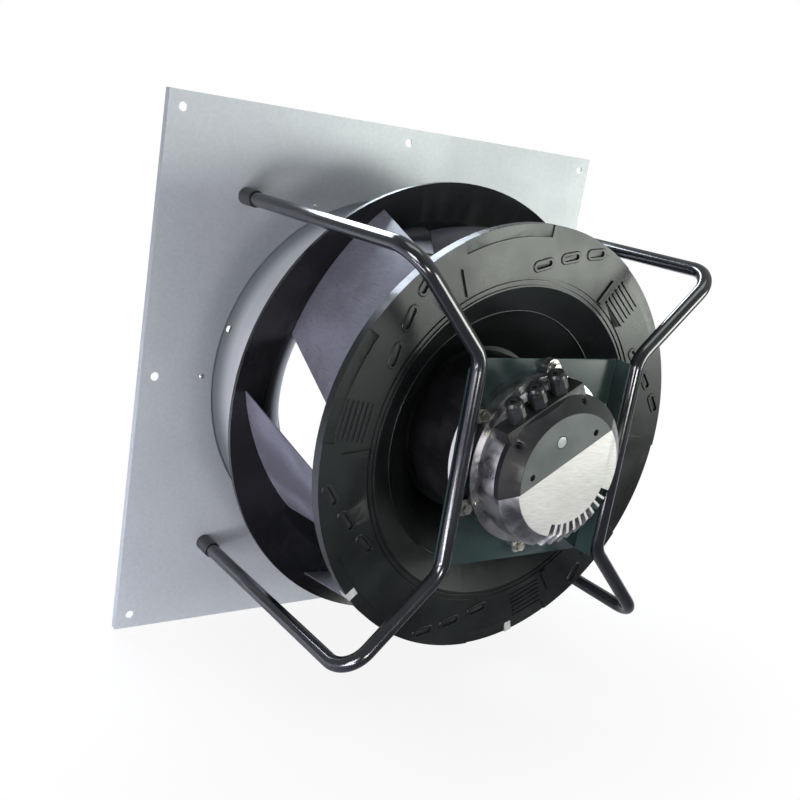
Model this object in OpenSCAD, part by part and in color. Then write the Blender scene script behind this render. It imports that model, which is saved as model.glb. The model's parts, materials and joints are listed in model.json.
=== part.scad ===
// Plug fan: a backward-curved impeller on an external-rotor motor, carried on two bent
// tubes behind a square inlet plate. Sizes are in millimetres. Everything is modelled flat
// on a bench, plate down and motor up, and bench() then turns it to its working position:
// the fan axis lies along Y, the motor points to -Y and +Z is up.

/* [Inlet plate] */
// Side of the square plate
plate_w = 630; // [600:1:700]
// Sheet thickness of the plate
plate_t = 2; // [1.5:0.1:3]
// Depth of the folded rim
rim_depth = 10; // [9:0.5:20]
// Distance of the fixing holes from the plate's edge
hole_inset = 17; // [12:0.5:22]
// Diameter of the fixing holes
hole_d = 10; // [7:0.5:12]
// Diameter of the round opening
opening_d = 454; // [440:1:462]

/* [Nozzle] */
// Sheet thickness of the spun nozzle
nozzle_t = 2; // [1.5:0.1:3]
// Width of the flange hidden behind the plate
nozzle_lap = 26; // [20:1:30]
// Radius where the flat ring turns into the cove
cove_start_r = 208; // [206:0.5:212]
// Radius of the cove on the air side
cove_r = 43; // [40:0.5:46]
// Straight lip after the cove
lip_len = 13; // [8:0.5:18]
// Diameter of the pressure tap hole
tap_d = 8; // [5:0.5:10]
// Radius of the pressure tap hole from the axis
tap_r = 219; // [217:0.5:221]
// Direction of the pressure tap hole
tap_angle = 165; // [0:1:360]
// Number of nozzle rivets
rivet_count = 6; // [4:1:12]
// Radius of the rivet circle
rivet_circle_r = 240; // [236:0.5:244]
// Rivet shank diameter
rivet_d = 4; // [3:0.1:5]
// Rivet head diameter
rivet_head_d = 7; // [6:0.5:9]
// Rivet head height
rivet_head_h = 1.4; // [1:0.1:2]

/* [Front shroud] */
// Radial gap between nozzle and impeller eye
eye_gap = 3; // [2:0.1:5]
// Depth by which the nozzle reaches into the eye
eye_overlap = 14; // [10:0.5:18]
// Straight lip of the eye
eye_lip = 4; // [2:0.5:6]
// Radius of the shroud's curve on the air side
shroud_curve = 76; // [70:0.5:80]
// Slope of the outer cone from the radial direction
shroud_slope = 20; // [16:0.5:24]
// Wall of the shroud
shroud_t = 3; // [2:0.1:4]
// Radius of the shroud's rim
shroud_rim_r = 265; // [260:0.5:272]
// Height of the small bead at the rim
shroud_bead = 2; // [1:0.1:3]

/* [Back disc] */
// Free width between shroud rim and disc
outlet_w = 141; // [130:0.5:150]
// Wall of the disc
disc_t = 4; // [3:0.1:5]
// Radius of the disc
disc_r = 242; // [241:0.5:246]
// Depth of the stiffening rim
disc_rim_depth = 12; // [9:0.5:16]
// Wall of the stiffening rim
disc_rim_t = 3; // [2:0.1:3.5]
// Radius where the flat ring ends
ring_inner_r = 176; // [174:0.5:178]
// Radius of the step inside the dish
step_r = 145; // [140:0.5:150]
// Depth of that step below the ring
step_depth = 20; // [16:0.5:24]
// Radius of the dish floor
floor_r = 97; // [96:0.5:104]
// Depth of the dish floor below the ring
dish_depth = 61; // [56:0.5:66]
// Radius of the hole in the dish floor
floor_hole_r = 62; // [55:0.5:64]
// Middle radius between the two ring grooves
groove_r = 182; // [181:0.5:184]
// Distance between the two ring grooves
groove_pitch = 5.6; // [5:0.1:6]
// Width of each ring groove
groove_w = 2.6; // [1.5:0.1:3]
// Depth of each ring groove
groove_depth = 1.4; // [0.8:0.1:1.8]
// Sweep of each clip seat on the rim
pad_sweep = 28.5; // [20:0.5:32]
// Width of each clip seat
pad_w = 13; // [10:0.5:14]
// Depth of each clip seat
pad_depth = 1.5; // [1:0.1:2]
// Middle direction of the first clip seat
pad_angle = 43; // [40:0.5:46]
// Number of ribs in each rib field
rib_count = 6; // [4:1:6]
// Length of a rib
rib_len = 42; // [30:1:46]
// Width of a rib
rib_w = 2.4; // [1.5:0.1:3]
// Spacing of the ribs
rib_pitch = 6; // [5:0.1:6.5]
// Height of the ribs
rib_h = 1.6; // [1:0.1:2.5]
// Middle direction of the first rib field
rib_angle = 51; // [49:0.5:52]
// Radius of the innermost rib
rib_start_r = 193; // [191:0.5:195]
// Length of the wedge stiffeners
wedge_len = 30; // [20:1:34]
// Width of the wedge stiffeners at their root
wedge_w = 7; // [4:0.5:9]
// Height of the wedge stiffeners
wedge_h = 2.4; // [1:0.1:3]

/* [Blades] */
// Thickness of a blade
blade_t = 3.2; // [2.5:0.1:4]
// Leading edge radius at the disc
lead_root_r = 185; // [182:0.5:190]
// Leading edge direction at the disc
lead_root_a = 190; // [186:0.5:194]
// Distance of the trailing edge at the disc from the disc's edge
trail_inset = 5; // [4.5:0.5:8]
// Trailing edge direction at the disc
trail_root_a = 126.6; // [124:0.2:129]
// Leading edge radius at the shroud
lead_tip_r = 207; // [202:0.5:212]
// Leading edge direction at the shroud
lead_tip_a = 157.6; // [155:0.2:160]
// Trailing edge radius at the shroud
trail_tip_r = 249; // [245:0.5:254]
// Trailing edge direction at the shroud
trail_tip_a = 115.6; // [113:0.2:118]
// Bow of the blade at the disc
root_bow = 15; // [12:0.5:18]
// Bow of the blade at the shroud
tip_bow = 10; // [7:0.5:13]
// Length of a blade tab
tab_len = 22; // [16:0.5:26]
// Width of a blade tab
tab_w = 6; // [5:0.5:8]
// Depth of the tab's end below the disc face
tab_recess = 1; // [0.5:0.1:2]
// Wall of the raised frame round a tab
tab_frame = 2.2; // [1.5:0.1:3]
// Height of that frame
tab_frame_h = 1.2; // [0.6:0.1:2]

/* [Balance clips] */
// Sheet thickness of a clip
clip_t = 1; // [0.6:0.1:1.3]
// Sweep of a clip along the rim
clip_sweep = 2.2; // [1.5:0.1:3]
// Length of the clip's front leg
clip_leg = 11; // [8:0.5:12]
// Direction of the first clip
clip_angle_1 = -138.8; // [-148:0.2:-126]
// Direction of the second clip
clip_angle_2 = -76.3; // [-88:0.2:-66]

/* [Support tubes] */
// Diameter of the tubes
tube_d = 16; // [14:0.5:18]
// Radius of the bends on the tube's axis
bend_r = 32; // [28:0.5:38]
// Half distance between the feet
foot_x = 212; // [206:0.5:218]
// Half distance between the upright runs
tube_x = 113; // [110:0.5:118]
// Wall of the foot sleeve
sleeve_wall = 1.6; // [1:0.1:2]
// Length of the foot sleeve
sleeve_len = 26; // [20:0.5:32]
// Base of the foot sleeve
sleeve_base = 3; // [2:0.5:5]
// Diameter of the foot screws
foot_screw_d = 8; // [6:0.5:8]
// Grip of a foot screw in its tube
foot_grip = 20; // [12:0.5:30]

/* [Motor plate] */
// Sheet thickness of the motor plate
mplate_t = 3; // [2:0.1:4]
// Reach of the plate above the axis
mplate_up = 107; // [100:0.5:112]
// Reach of the plate below the axis
mplate_down = 119; // [114:0.5:124]
// Corner cut at the top left
mplate_cut = 12; // [6:0.5:16]
// Radius of the hole for the motor
mplate_hole_r = 76; // [70:0.5:80]
// Height of the tube axis in front of the plate
tube_rise = 21; // [19:0.5:24]
// Number of weld beads along each tube
weld_count = 3; // [2:1:4]
// Length of a weld bead
weld_len = 36; // [20:1:40]
// Leg of a weld bead
weld_leg = 4; // [3:0.1:5]

/* [Rotor] */
// Radius of the rotor can
rotor_r = 91; // [88:0.5:94]
// Wall of the rotor can
rotor_wall = 6; // [5:0.1:8]
// Thickness of the rotor's closed end
rotor_end_t = 6; // [6:0.5:8]
// Length of the rotor can
rotor_len = 84; // [82:0.5:90]
// Machined ring at the open end, radial step
rotor_bead = 4; // [2:0.5:5]
// Machined ring at the open end, width
rotor_bead_w = 10; // [6:0.5:14]
// Gap between rotor and motor plate
rotor_clear = 9; // [7:0.5:12]
// Thickness of the magnet ring
magnet_t = 6; // [4:0.1:7]
// Length of the magnet ring
magnet_len = 60; // [50:0.5:64]
// Radius of the screw circle in the dish floor
hub_screw_r = 78; // [72:0.5:82]
// Number of hub screws
hub_screw_count = 6; // [4:1:8]
// Diameter of the hub screws
hub_screw_d = 6; // [5:0.5:6]

/* [Stator] */
// Air gap between magnets and stator
air_gap = 1; // [0.6:0.1:1.5]
// Length of the stator stack
stack_len = 42; // [36:0.5:46]
// Width of a stator tooth
tooth_w = 14; // [11:0.5:15]
// Thickness of a winding
coil_t = 4.6; // [3:0.1:5]
// Outer radius of the bearing tube
bush_r = 30; // [28:0.5:33]
// Radius of the stator flange
flange_r = 92; // [91:0.5:94]
// Thickness of the stator flange
flange_t = 8.5; // [7:0.5:11]
// Radius of the flange screw circle
flange_screw_r = 100; // [99:0.5:101]
// Diameter of the flange screws
flange_screw_d = 6; // [5:0.5:6]
// Radius of a flange washer
washer_r = 6.4; // [5:0.1:6.4]
// Radius of a screw ear
ear_r = 9; // [9:0.5:11]

/* [Bearings] */
// Shaft diameter
shaft_d = 20; // [18:0.5:21]
// Bearing outer diameter
bearing_d = 42; // [40:0.5:44]
// Bearing width
bearing_w = 12; // [10:0.5:14]
// Ball diameter
ball_d = 6.6; // [6:0.1:7]
// Number of balls
ball_count = 8; // [6:1:8]
// Running clearance of a ball
ball_gap = 0.08; // [0.05:0.01:0.15]

/* [Electronics housing] */
// Radius of the housing's foot ring
foot_ring_r = 93.4; // [92.5:0.1:93.8]
// Thickness of the foot ring
foot_ring_t = 5; // [4:0.5:7]
// Gasket thickness
gasket_t = 1; // [0.6:0.1:2]
// Radius of the housing
case_r = 84; // [82:0.5:85]
// Height of the housing above its foot ring
case_h = 47; // [44:0.5:52]
// Radius of the flat front
face_r = 67; // [64:0.5:70]
// Depth of the sloped edge
case_slope_h = 13.5; // [11:0.5:16]
// Wall of the housing
case_wall = 4; // [3:0.1:5]
// Turn of the housing about the fan axis
case_turn = 30; // [0:1:60]
// Distance of the cover's straight edge from the axis
split_v = 16.5; // [14:0.5:19]
// Height of the cover's side wall
cover_side = 7; // [5:0.5:9]
// Distance of the straight edge above the gland box
chord_v = 76.5; // [74:0.5:79]
// Thickness of the inlaid panel
panel_t = 1.2; // [0.8:0.1:2]
// Radius of the round lens
lens_r = 6; // [4:0.5:8]
// Distance of the lens from the axis
lens_v = 42; // [38:0.5:46]
// Half distance between the cover screws
screw_u = 44.8; // [43:0.2:46]
// Distance of the panel screws from the axis
panel_screw_v = 26; // [24:0.5:28]
// Distance of the edge screws from the axis
edge_screw_v = 63.4; // [62:0.2:65]
// Diameter of the cover screws
cover_screw_d = 4; // [3:0.5:4.5]
// Number of cooling fins
fin_count = 9; // [5:1:10]
// Thickness of a fin
fin_t = 2.6; // [2:0.1:3.2]
// Half sweep of the fin field
fin_half_sweep = 41.5; // [36:0.5:44]
// Inner radius of the fin field
fin_root_r = 54.5; // [52:0.5:58]

/* [Gland box and glands] */
// Half width of the gland box
box_u = 52; // [51:0.5:54]
// Distance of the gland wall from the axis
box_v = 80; // [79:0.5:83]
// Depth of the gland box
box_h = 22; // [21:0.5:24]
// Wall of the gland box
box_wall = 4; // [3:0.1:5]
// Spacing of the glands
gland_pitch = 29; // [26:0.5:30]
// Radius of the gland thread
gland_r = 8; // [7:0.1:8.5]
// Reach of the gland thread behind the gland wall
thread_back = 5; // [3:0.5:7]
// Across-flats size of the gland's hexagon
gland_flats = 19; // [18:0.5:21]
// Thickness of the gland's hexagon
gland_hex_t = 4.5; // [3:0.1:6]
// Radius of the gland cap
cap_r = 10.2; // [9.8:0.1:11]
// Length of the gland cap
cap_len = 18; // [15:0.5:22]
// Radius of the cable hole in the seal
cable_r = 3.5; // [2.5:0.1:4]

/* [Hidden] */
$fn = 96;
// Numbers that the node list and the motor's pattern fix
blade_count = 6;
tooth_count = 12;
flange_screw_count = 6;
// Clearance between parts that are put together by hand
clear = 0.1;
// Clearance where a blade seats on the curved shroud
seat_gap = 0.15;
// Overlap of features that are one solid
weld = 0.5;

// Heights along the fan axis, from the plate's motor side
plate_back = -plate_t;
nozzle_back = plate_back - nozzle_t;
cove_h = nozzle_back + cove_r;
lip_end = cove_h + lip_len;
throat_r = cove_start_r - cove_r;
eye_r = throat_r + nozzle_t + eye_gap;
curve_r = eye_r + shroud_curve;
curve_h = lip_end - eye_overlap + eye_lip;
cone_start_r = curve_r - shroud_curve * sin(shroud_slope);
cone_start_h = curve_h + shroud_curve * cos(shroud_slope);
shroud_rim_h = cone_start_h + (shroud_rim_r - cone_start_r) * tan(shroud_slope);
disc_flow_h = shroud_rim_h + outlet_w;
disc_h = disc_flow_h + disc_t;
floor_h = disc_h - dish_depth;
floor_back = floor_h - disc_t;
rotor_open_h = floor_h + rotor_len;
mplate_back = rotor_open_h + rotor_clear;
mplate_h = mplate_back + mplate_t;
tube_h = mplate_h + tube_rise;
flange_h = mplate_h + flange_t;
gasket_h = flange_h + gasket_t;
foot_ring_h = gasket_h + foot_ring_t;
case_front = foot_ring_h + case_h;
case_shoulder = case_front - case_slope_h;
cover_h = case_shoulder - cover_side;

// Support tube
foot_r = foot_x * sqrt(2);
corner_r = tube_x * sqrt(2);
corner_cut = bend_r * tan(22.5);
leg_len = tube_h - sleeve_base - bend_r;
diagonal_len = foot_r - corner_r - bend_r - corner_cut;
upright_len = 2 * (tube_x - corner_cut);
sleeve_r = tube_d / 2 + clear + sleeve_wall;
// A bent piece is a little thinner, and each straight piece laps over it
bend_thin = 0.06;
bend_lap = 0.6;

// Motor plate, between the tubes
mplate_x = tube_x - tube_d / 2;

// Rotor, stator and bearings
stack_shift = 3;
rear_bearing_rise = 20;
boss_wall = 12;
bush_lip = 2;
yoke_t = 12;
coil_gap = 5;
rotor_in_r = rotor_r - rotor_wall;
magnet_in_r = rotor_in_r - magnet_t;
stack_r = magnet_in_r - air_gap;
rotor_floor = floor_h + rotor_end_t;
stack_mid = (rotor_floor + rotor_open_h) / 2 + stack_shift;
stack_low = stack_mid - stack_len / 2;
bearing_r = bearing_d / 2;
shaft_r = shaft_d / 2;
ball_circle = (shaft_r + bearing_r) / 2;
race_in_r = ball_circle - ball_d * 0.3;
race_out_r = ball_circle + ball_d * 0.3;
rear_bearing_h = rotor_floor + rear_bearing_rise;
front_bearing_h = mplate_back - bearing_w;
boss_r = shaft_r + boss_wall;
boss_h = 14;
bush_low = rear_bearing_h - bush_lip;
bush_shoulder = 2.5;
spring_h = 3;
tooth_tip = 5;
tooth_root_r = bush_r + yoke_t;
tooth_opening = 3;
coil_in_r = tooth_root_r + coil_gap;
coil_out_r = stack_r - tooth_tip - 1;

// Housing and glands
box_rise = 8;
box_front = cover_h + box_rise;
box_back = box_front - box_h;
gland_axis_h = (box_front + box_back) / 2;
cavity_floor = gasket_h + case_wall;
cavity_v = -20;
fin_rise = 8;
fin_floor = foot_ring_h + fin_rise;
board_rise = 10;
board_h = cavity_floor + board_rise;
board_t = 1.6;
post_r = 4.5;
post_shelf = 2;
box_depth = 10;
head_room = 7;
lens_depth = 5;

// Colours
zinc = "#c6cfcd";
spun_zinc = "#aeb8ba";
black_paint = "#17191c";
black_plastic = "#25282a";
blade_grey = "#4a4c55";
cast_metal = "#b9bbbd";
bright_steel = "#d9d9d6";
cover_grey = "#4b4f50";
panel_grey = "#9aa3a0";
rubber_black = "#151515";
copper = "#b87333";
board_green = "#2f6b45";

blade_numbers = [for (i = [1 : blade_count]) i];

// Turns the bench position into the working position
module bench() {
    rotate([90, 0, 0]) children();
}

// Copies its children round the fan axis
module around(count, start = 0) {
    for (i = [0 : count - 1]) rotate([0, 0, start + i * 360 / count]) children();
}

// A plain ring between two heights
module ring(r_in, r_out, low, high) {
    rotate_extrude() translate([r_in, low]) square([r_out - r_in, high - low]);
}

module rod(r, low, high) {
    translate([0, 0, low]) cylinder(r = r, h = high - low);
}

// Hexagon given across its flats, with two flats facing along X
module hexagon(flats, low, high) {
    translate([0, 0, low]) rotate([0, 0, 30]) cylinder(d = flats / cos(30), h = high - low, $fn = 6);
}

// Across-flats size of a screw's hexagon for its diameter
hex_ratio = 1.65;

// Slot shape with round ends, along X
module stadium(len, w) {
    square([len - w, w], center = true);
    for (side = [-1, 1]) translate([side * (len - w) / 2, 0]) circle(d = w);
}

// Points and arcs in the plane
function polar(r, a) = [r * cos(a), r * sin(a)];
function unit(v) = v / norm(v);
function left_of(v) = [-v.y, v.x];
function bow_radius(p, q, bow) = (pow(norm(q - p) / 2, 2) + bow * bow) / (2 * bow);
function bow_half(p, q, bow) = asin(norm(q - p) / 2 / bow_radius(p, q, bow));
function bow_angle(p, q, bow, f) = bow_half(p, q, bow) * (2 * f - 1);
function bow_point(p, q, bow, f) =
    let (along = unit(q - p), out = left_of(along), r = bow_radius(p, q, bow))
    let (a = bow_angle(p, q, bow, f))
    (p + q) / 2 + out * (bow - r + r * cos(a)) + along * (r * sin(a));
function bow_tangent(p, q, bow, f) =
    let (along = unit(q - p), a = bow_angle(p, q, bow, f))
    along * cos(a) - left_of(along) * sin(a);

// Air-side surface of the shroud at a radius
function shroud_flow(r) = r > cone_start_r
    ? cone_start_h + (r - cone_start_r) * tan(shroud_slope)
    : curve_h + sqrt(pow(shroud_curve, 2) - pow(curve_r - r, 2));

// Blade outline at the disc and at the shroud
trail_root_r = disc_r - trail_inset;
root_lead = polar(lead_root_r, lead_root_a);
root_trail = polar(trail_root_r, trail_root_a);
tip_lead = polar(lead_tip_r, lead_tip_a);
tip_trail = polar(trail_tip_r, trail_tip_a);
function root_point(f) = bow_point(root_lead, root_trail, root_bow, f);
function root_tangent(f) = bow_tangent(root_lead, root_trail, root_bow, f);
function tip_point(f) = bow_point(tip_lead, tip_trail, tip_bow, f);
function tip_tangent(f) = bow_tangent(tip_lead, tip_trail, tip_bow, f);

// The blade thins towards both edges
edge_thin = 0.45;
edge_run = 0.12;
function blade_half(f) =
    blade_t / 2 * (edge_thin + (1 - edge_thin) * min(1, f / edge_run, (1 - f) / edge_run));
chord_steps = 12;
span_steps = 6;

// One skin point: f along the chord, g from disc to shroud, side -1 or 1
function blade_skin(f, g, side) =
    let (root = root_point(f) + left_of(root_tangent(f)) * side * blade_half(f))
    let (tip = tip_point(f) + left_of(tip_tangent(f)) * side * blade_half(f))
    let (flat = root + (tip - root) * g)
    let (tip_h = shroud_flow(norm(tip)) + seat_gap)
    [flat.x, flat.y, disc_flow_h + (tip_h - disc_flow_h) * g];

function skin_index(i, j, side) = ((i * (span_steps + 1)) + j) * 2 + side;
function quad(a, b, c, d) = [[a, c, b], [a, d, c]];

module blade_skin_solid() {
    points = [for (i = [0 : chord_steps]) for (j = [0 : span_steps]) for (side = [-1, 1])
        blade_skin(i / chord_steps, j / span_steps, side)];
    sides = [for (i = [0 : chord_steps - 1]) for (j = [0 : span_steps - 1]) for (k = [0, 1])
        let (a = skin_index(i, j, k), b = skin_index(i + 1, j, k))
        let (c = skin_index(i + 1, j + 1, k), d = skin_index(i, j + 1, k))
        each k == 0 ? quad(a, d, c, b) : quad(a, b, c, d)];
    ends = [for (i = [0 : chord_steps - 1]) for (j = [0, span_steps])
        let (a = skin_index(i, j, 0), b = skin_index(i + 1, j, 0))
        let (c = skin_index(i + 1, j, 1), d = skin_index(i, j, 1))
        each j == 0 ? quad(a, b, c, d) : quad(a, d, c, b)];
    edges = [for (i = [0, chord_steps]) for (j = [0 : span_steps - 1])
        let (a = skin_index(i, j, 0), b = skin_index(i, j + 1, 0))
        let (c = skin_index(i, j + 1, 1), d = skin_index(i, j, 1))
        each i == 0 ? quad(a, d, c, b) : quad(a, b, c, d)];
    polyhedron(points = points, faces = concat(sides, ends, edges));
}

// Places along the blade's foot where a tab goes through the disc
tab_places = [0.58, 0.75, 0.915];
module at_tabs() {
    for (f = tab_places) {
        p = root_point(f);
        t = root_tangent(f);
        translate([p.x, p.y, 0]) rotate([0, 0, atan2(t.y, t.x)]) children();
    }
}

// Inlet side
module fixing_holes() {
    reach = plate_w / 2 - hole_inset;
    for (x = [-1, 0, 1]) for (y = [-1, 0, 1])
        if (x != 0 || y != 0) translate([x * reach, y * reach, -rim_depth - 1])
            cylinder(d = hole_d, h = rim_depth + 2);
}

module at_feet() {
    for (x = [-1, 1]) for (y = [-1, 1]) translate([x * foot_x, y * foot_x, 0]) children();
}

module inlet_plate() {
    color(zinc) bench() difference() {
        translate([-plate_w / 2, -plate_w / 2, -rim_depth]) cube([plate_w, plate_w, rim_depth]);
        translate([-plate_w / 2 + plate_t, -plate_w / 2 + plate_t, -rim_depth - 1])
            cube([plate_w - 2 * plate_t, plate_w - 2 * plate_t, rim_depth - plate_t + 1]);
        rod(opening_d / 2, -rim_depth, 1);
        fixing_holes();
        around(rivet_count) translate([rivet_circle_r, 0, 0]) rod(rivet_d / 2 + clear, -rim_depth, 1);
        at_feet() rod(foot_screw_d / 2 + clear, -rim_depth, 1);
    }
}

module inlet_nozzle() {
    flange_out = opening_d / 2 + nozzle_lap;
    color(spun_zinc) bench() difference() {
        rotate_extrude() {
            translate([cove_start_r - weld, nozzle_back])
                square([flange_out - cove_start_r + weld, nozzle_t]);
            intersection() {
                translate([cove_start_r, cove_h]) difference() {
                    circle(r = cove_r);
                    circle(r = cove_r - nozzle_t);
                }
                translate([throat_r - 1, nozzle_back - 1]) square([cove_r + 1, cove_r + 1]);
            }
            translate([throat_r, cove_h - weld]) square([nozzle_t, lip_len + weld]);
        }
        rotate([0, 0, tap_angle]) translate([tap_r, 0, 0]) rod(tap_d / 2, nozzle_back - 1, 1);
        around(rivet_count) translate([rivet_circle_r, 0, 0])
            rod(rivet_d / 2 + clear, nozzle_back - 1, 1);
    }
}

// Each rivet has a low dome in front and a flat set head behind
module nozzle_rivets() {
    dome_r = (pow(rivet_head_d / 2, 2) + pow(rivet_head_h, 2)) / (2 * rivet_head_h);
    set_head = 1;
    color(bright_steel) bench() around(rivet_count) translate([rivet_circle_r, 0, 0]) {
        rod(rivet_d / 2, nozzle_back, 0);
        rod(rivet_head_d / 2, nozzle_back - set_head, nozzle_back);
        intersection() {
            translate([0, 0, rivet_head_h - dome_r]) sphere(r = dome_r);
            rod(rivet_head_d, 0, rivet_head_h + 1);
        }
    }
}

// Support frame
module straight(len, lap_low = bend_lap, lap_high = bend_lap) {
    translate([0, 0, -lap_low]) cylinder(d = tube_d, h = len + lap_low + lap_high);
    translate([0, 0, len]) children();
}

// A bend towards +X of the running frame
module bend(a) {
    translate([bend_r, 0, 0]) rotate([90, 0, 0]) rotate([0, 0, 180 - a])
        rotate_extrude(angle = a) translate([bend_r, 0]) circle(d = tube_d - 2 * bend_thin);
    translate([bend_r, 0, 0]) rotate([0, a, 0]) translate([-bend_r, 0, 0]) children();
}

// Foot, diagonal, upright beside the motor, diagonal, foot
module support_tube() {
    difference() {
        rotate([0, 0, 45]) translate([foot_r, 0, sleeve_base]) rotate([0, 0, 180])
            straight(leg_len, 0) bend(90) straight(diagonal_len)
            rotate([0, 0, 90]) bend(45) straight(upright_len) bend(45) straight(diagonal_len)
            rotate([0, 0, -90]) bend(90) straight(leg_len, bend_lap, 0);
        for (y = [-1, 1]) translate([foot_x, y * foot_x, 0])
            rod(foot_screw_d / 2 + clear, 0, sleeve_base + foot_grip + 2);
    }
}

module support_tube_right() {
    color(black_paint) bench() support_tube();
}

module support_tube_left() {
    color(black_paint) bench() mirror([1, 0, 0]) support_tube();
}

module foot_sleeve(x, y) {
    color(black_plastic) bench() translate([x * foot_x, y * foot_x, 0]) difference() {
        rod(sleeve_r, 0, sleeve_len);
        rod(tube_d / 2 + clear, sleeve_base, sleeve_len + 1);
        rod(foot_screw_d / 2 + clear, -1, sleeve_base + 1);
    }
}

module foot_screws() {
    head = 5.5;
    color(bright_steel) bench() at_feet() {
        rod(foot_screw_d / 2, plate_back - weld, sleeve_base + foot_grip);
        hexagon(foot_screw_d * hex_ratio, plate_back - head, plate_back);
    }
}

// Channel with its side flanges folded up to the tubes
module motor_plate() {
    tall = mplate_up + mplate_down;
    color(black_paint) bench() difference() {
        union() {
            translate([-mplate_x, -mplate_down, mplate_back]) cube([2 * mplate_x, tall, mplate_t]);
            for (side = [-1, 1])
                translate([side < 0 ? -mplate_x : mplate_x - mplate_t, -mplate_down, mplate_back])
                    cube([mplate_t, tall, tube_h - mplate_back]);
        }
        rod(mplate_hole_r, mplate_back - 1, mplate_h + 1);
        at_flange_screws() rod(flange_screw_d / 2 + clear, mplate_back - 1, mplate_h + 1);
        translate([-mplate_x, mplate_up, mplate_back - 1]) rotate([0, 0, 45])
            translate([-mplate_cut, -mplate_cut, 0] * sqrt(0.5))
            cube([2 * mplate_cut, 2 * mplate_cut, 2 * tube_rise] * sqrt(0.5));
    }
}

// Fillet welds behind the tubes, along the channel's flanges
module weld_beads() {
    step = (mplate_up + mplate_down) / weld_count;
    color(black_paint) bench() for (side = [-1, 1]) for (i = [0 : weld_count - 1])
        mirror([side < 0 ? 1 : 0, 0, 0]) difference() {
            translate([mplate_x, -mplate_down + step * (i + 0.5) - weld_len / 2,
                tube_h - tube_d / 2 - weld_leg / 2])
                cube([weld_leg, weld_len, tube_d / 2]);
            translate([tube_x, 0, tube_h]) rotate([90, 0, 0])
                cylinder(d = tube_d, h = 4 * mplate_down, center = true);
        }
}

// Motor, fixed side
module stator_flange() {
    color(cast_metal) bench() difference() {
        union() {
            rod(flange_r, mplate_h, flange_h);
            rod(mplate_hole_r - clear, mplate_back, mplate_h + weld);
            rod(bush_r, bush_low, mplate_back + weld);
            at_flange_screws() rod(ear_r, mplate_h, flange_h);
        }
        rod(bearing_r - bush_shoulder, bush_low - 1, mplate_h);
        rod(bearing_r, bush_low - 1, rear_bearing_h + bearing_w);
        rod(bearing_r, front_bearing_h, mplate_back + spring_h);
        at_flange_screws() rod(flange_screw_d / 2 + clear, mplate_h - 1, flange_h + 1);
        at_housing_screws() rod(housing_screw_r + clear, flange_h - 6, flange_h + 1);
    }
}

washer_t = 1.6;
screw_head_t = 5;
nut_t = 5;
module at_flange_screws() {
    around(flange_screw_count, 30) translate([flange_screw_r, 0, 0]) children();
}

// Room that the housing and gasket leave round the heads and washers
module flange_screw_room() {
    at_flange_screws() rod(washer_r + clear, flange_h, flange_h + washer_t + screw_head_t + clear);
}

module flange_screws() {
    nut_end = mplate_back - nut_t - 1;
    color(bright_steel) bench() at_flange_screws() {
        rod(flange_screw_d / 2, nut_end, flange_h + washer_t);
        hexagon(flange_screw_d * hex_ratio, flange_h + washer_t, flange_h + washer_t + screw_head_t);
    }
}

module flange_washers() {
    color(bright_steel) bench() at_flange_screws()
        ring(flange_screw_d / 2 + clear, washer_r, flange_h, flange_h + washer_t);
}

module flange_nuts() {
    color(bright_steel) bench() at_flange_screws() difference() {
        hexagon(flange_screw_d * hex_ratio, mplate_back - nut_t, mplate_back);
        rod(flange_screw_d / 2 + clear, mplate_back - nut_t - 1, mplate_back + 1);
    }
}

module at_teeth() {
    around(tooth_count) children();
}

module stator_stack() {
    high = stack_low + stack_len;
    color(cast_metal) bench() difference() {
        union() {
            ring(bush_r, tooth_root_r, stack_low, high);
            ring(stack_r - tooth_tip, stack_r, stack_low, high);
            at_teeth() translate([tooth_root_r - 2, -tooth_w / 2, stack_low])
                cube([stack_r - tooth_tip - tooth_root_r + 4, tooth_w, stack_len]);
        }
        around(tooth_count, 180 / tooth_count)
            translate([stack_r - tooth_tip - 2, -tooth_opening / 2, stack_low - 1])
            cube([tooth_tip + 4, tooth_opening, stack_len + 2]);
    }
}

module stator_windings() {
    half_w = tooth_w / 2 + clear;
    color(copper) bench() at_teeth() difference() {
        translate([coil_in_r, -half_w - coil_t, stack_low - clear - coil_t])
            cube([coil_out_r - coil_in_r, 2 * (half_w + coil_t), stack_len + 2 * (clear + coil_t)]);
        translate([coil_in_r - 1, -half_w, stack_low - clear])
            cube([coil_out_r - coil_in_r + 2, 2 * half_w, stack_len + 2 * clear]);
    }
}

// Ball bearings, low is the height of their lower face
module ball_groove(low) {
    rotate_extrude() translate([ball_circle, low + bearing_w / 2]) circle(r = ball_d / 2 + ball_gap);
}

module bearing_outer(low) {
    color(bright_steel) bench() difference() {
        ring(race_out_r, bearing_r, low, low + bearing_w);
        ball_groove(low);
    }
}

module bearing_inner(low) {
    color(bright_steel) bench() difference() {
        ring(shaft_r, race_in_r, low, low + bearing_w);
        ball_groove(low);
    }
}

module bearing_balls(low) {
    color(bright_steel) bench() around(ball_count)
        translate([ball_circle, 0, low + bearing_w / 2]) sphere(d = ball_d);
}

cage_t = 1.6;
module bearing_cage(low) {
    mid = low + bearing_w / 2;
    color(black_plastic) bench() difference() {
        ring(ball_circle - cage_t / 2, ball_circle + cage_t / 2, mid - bearing_w / 3, mid + bearing_w / 3);
        around(ball_count) translate([ball_circle, 0, mid]) rotate([0, 90, 0])
            cylinder(r = ball_d / 2 + ball_gap, h = 4 * cage_t, center = true);
    }
}

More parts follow.
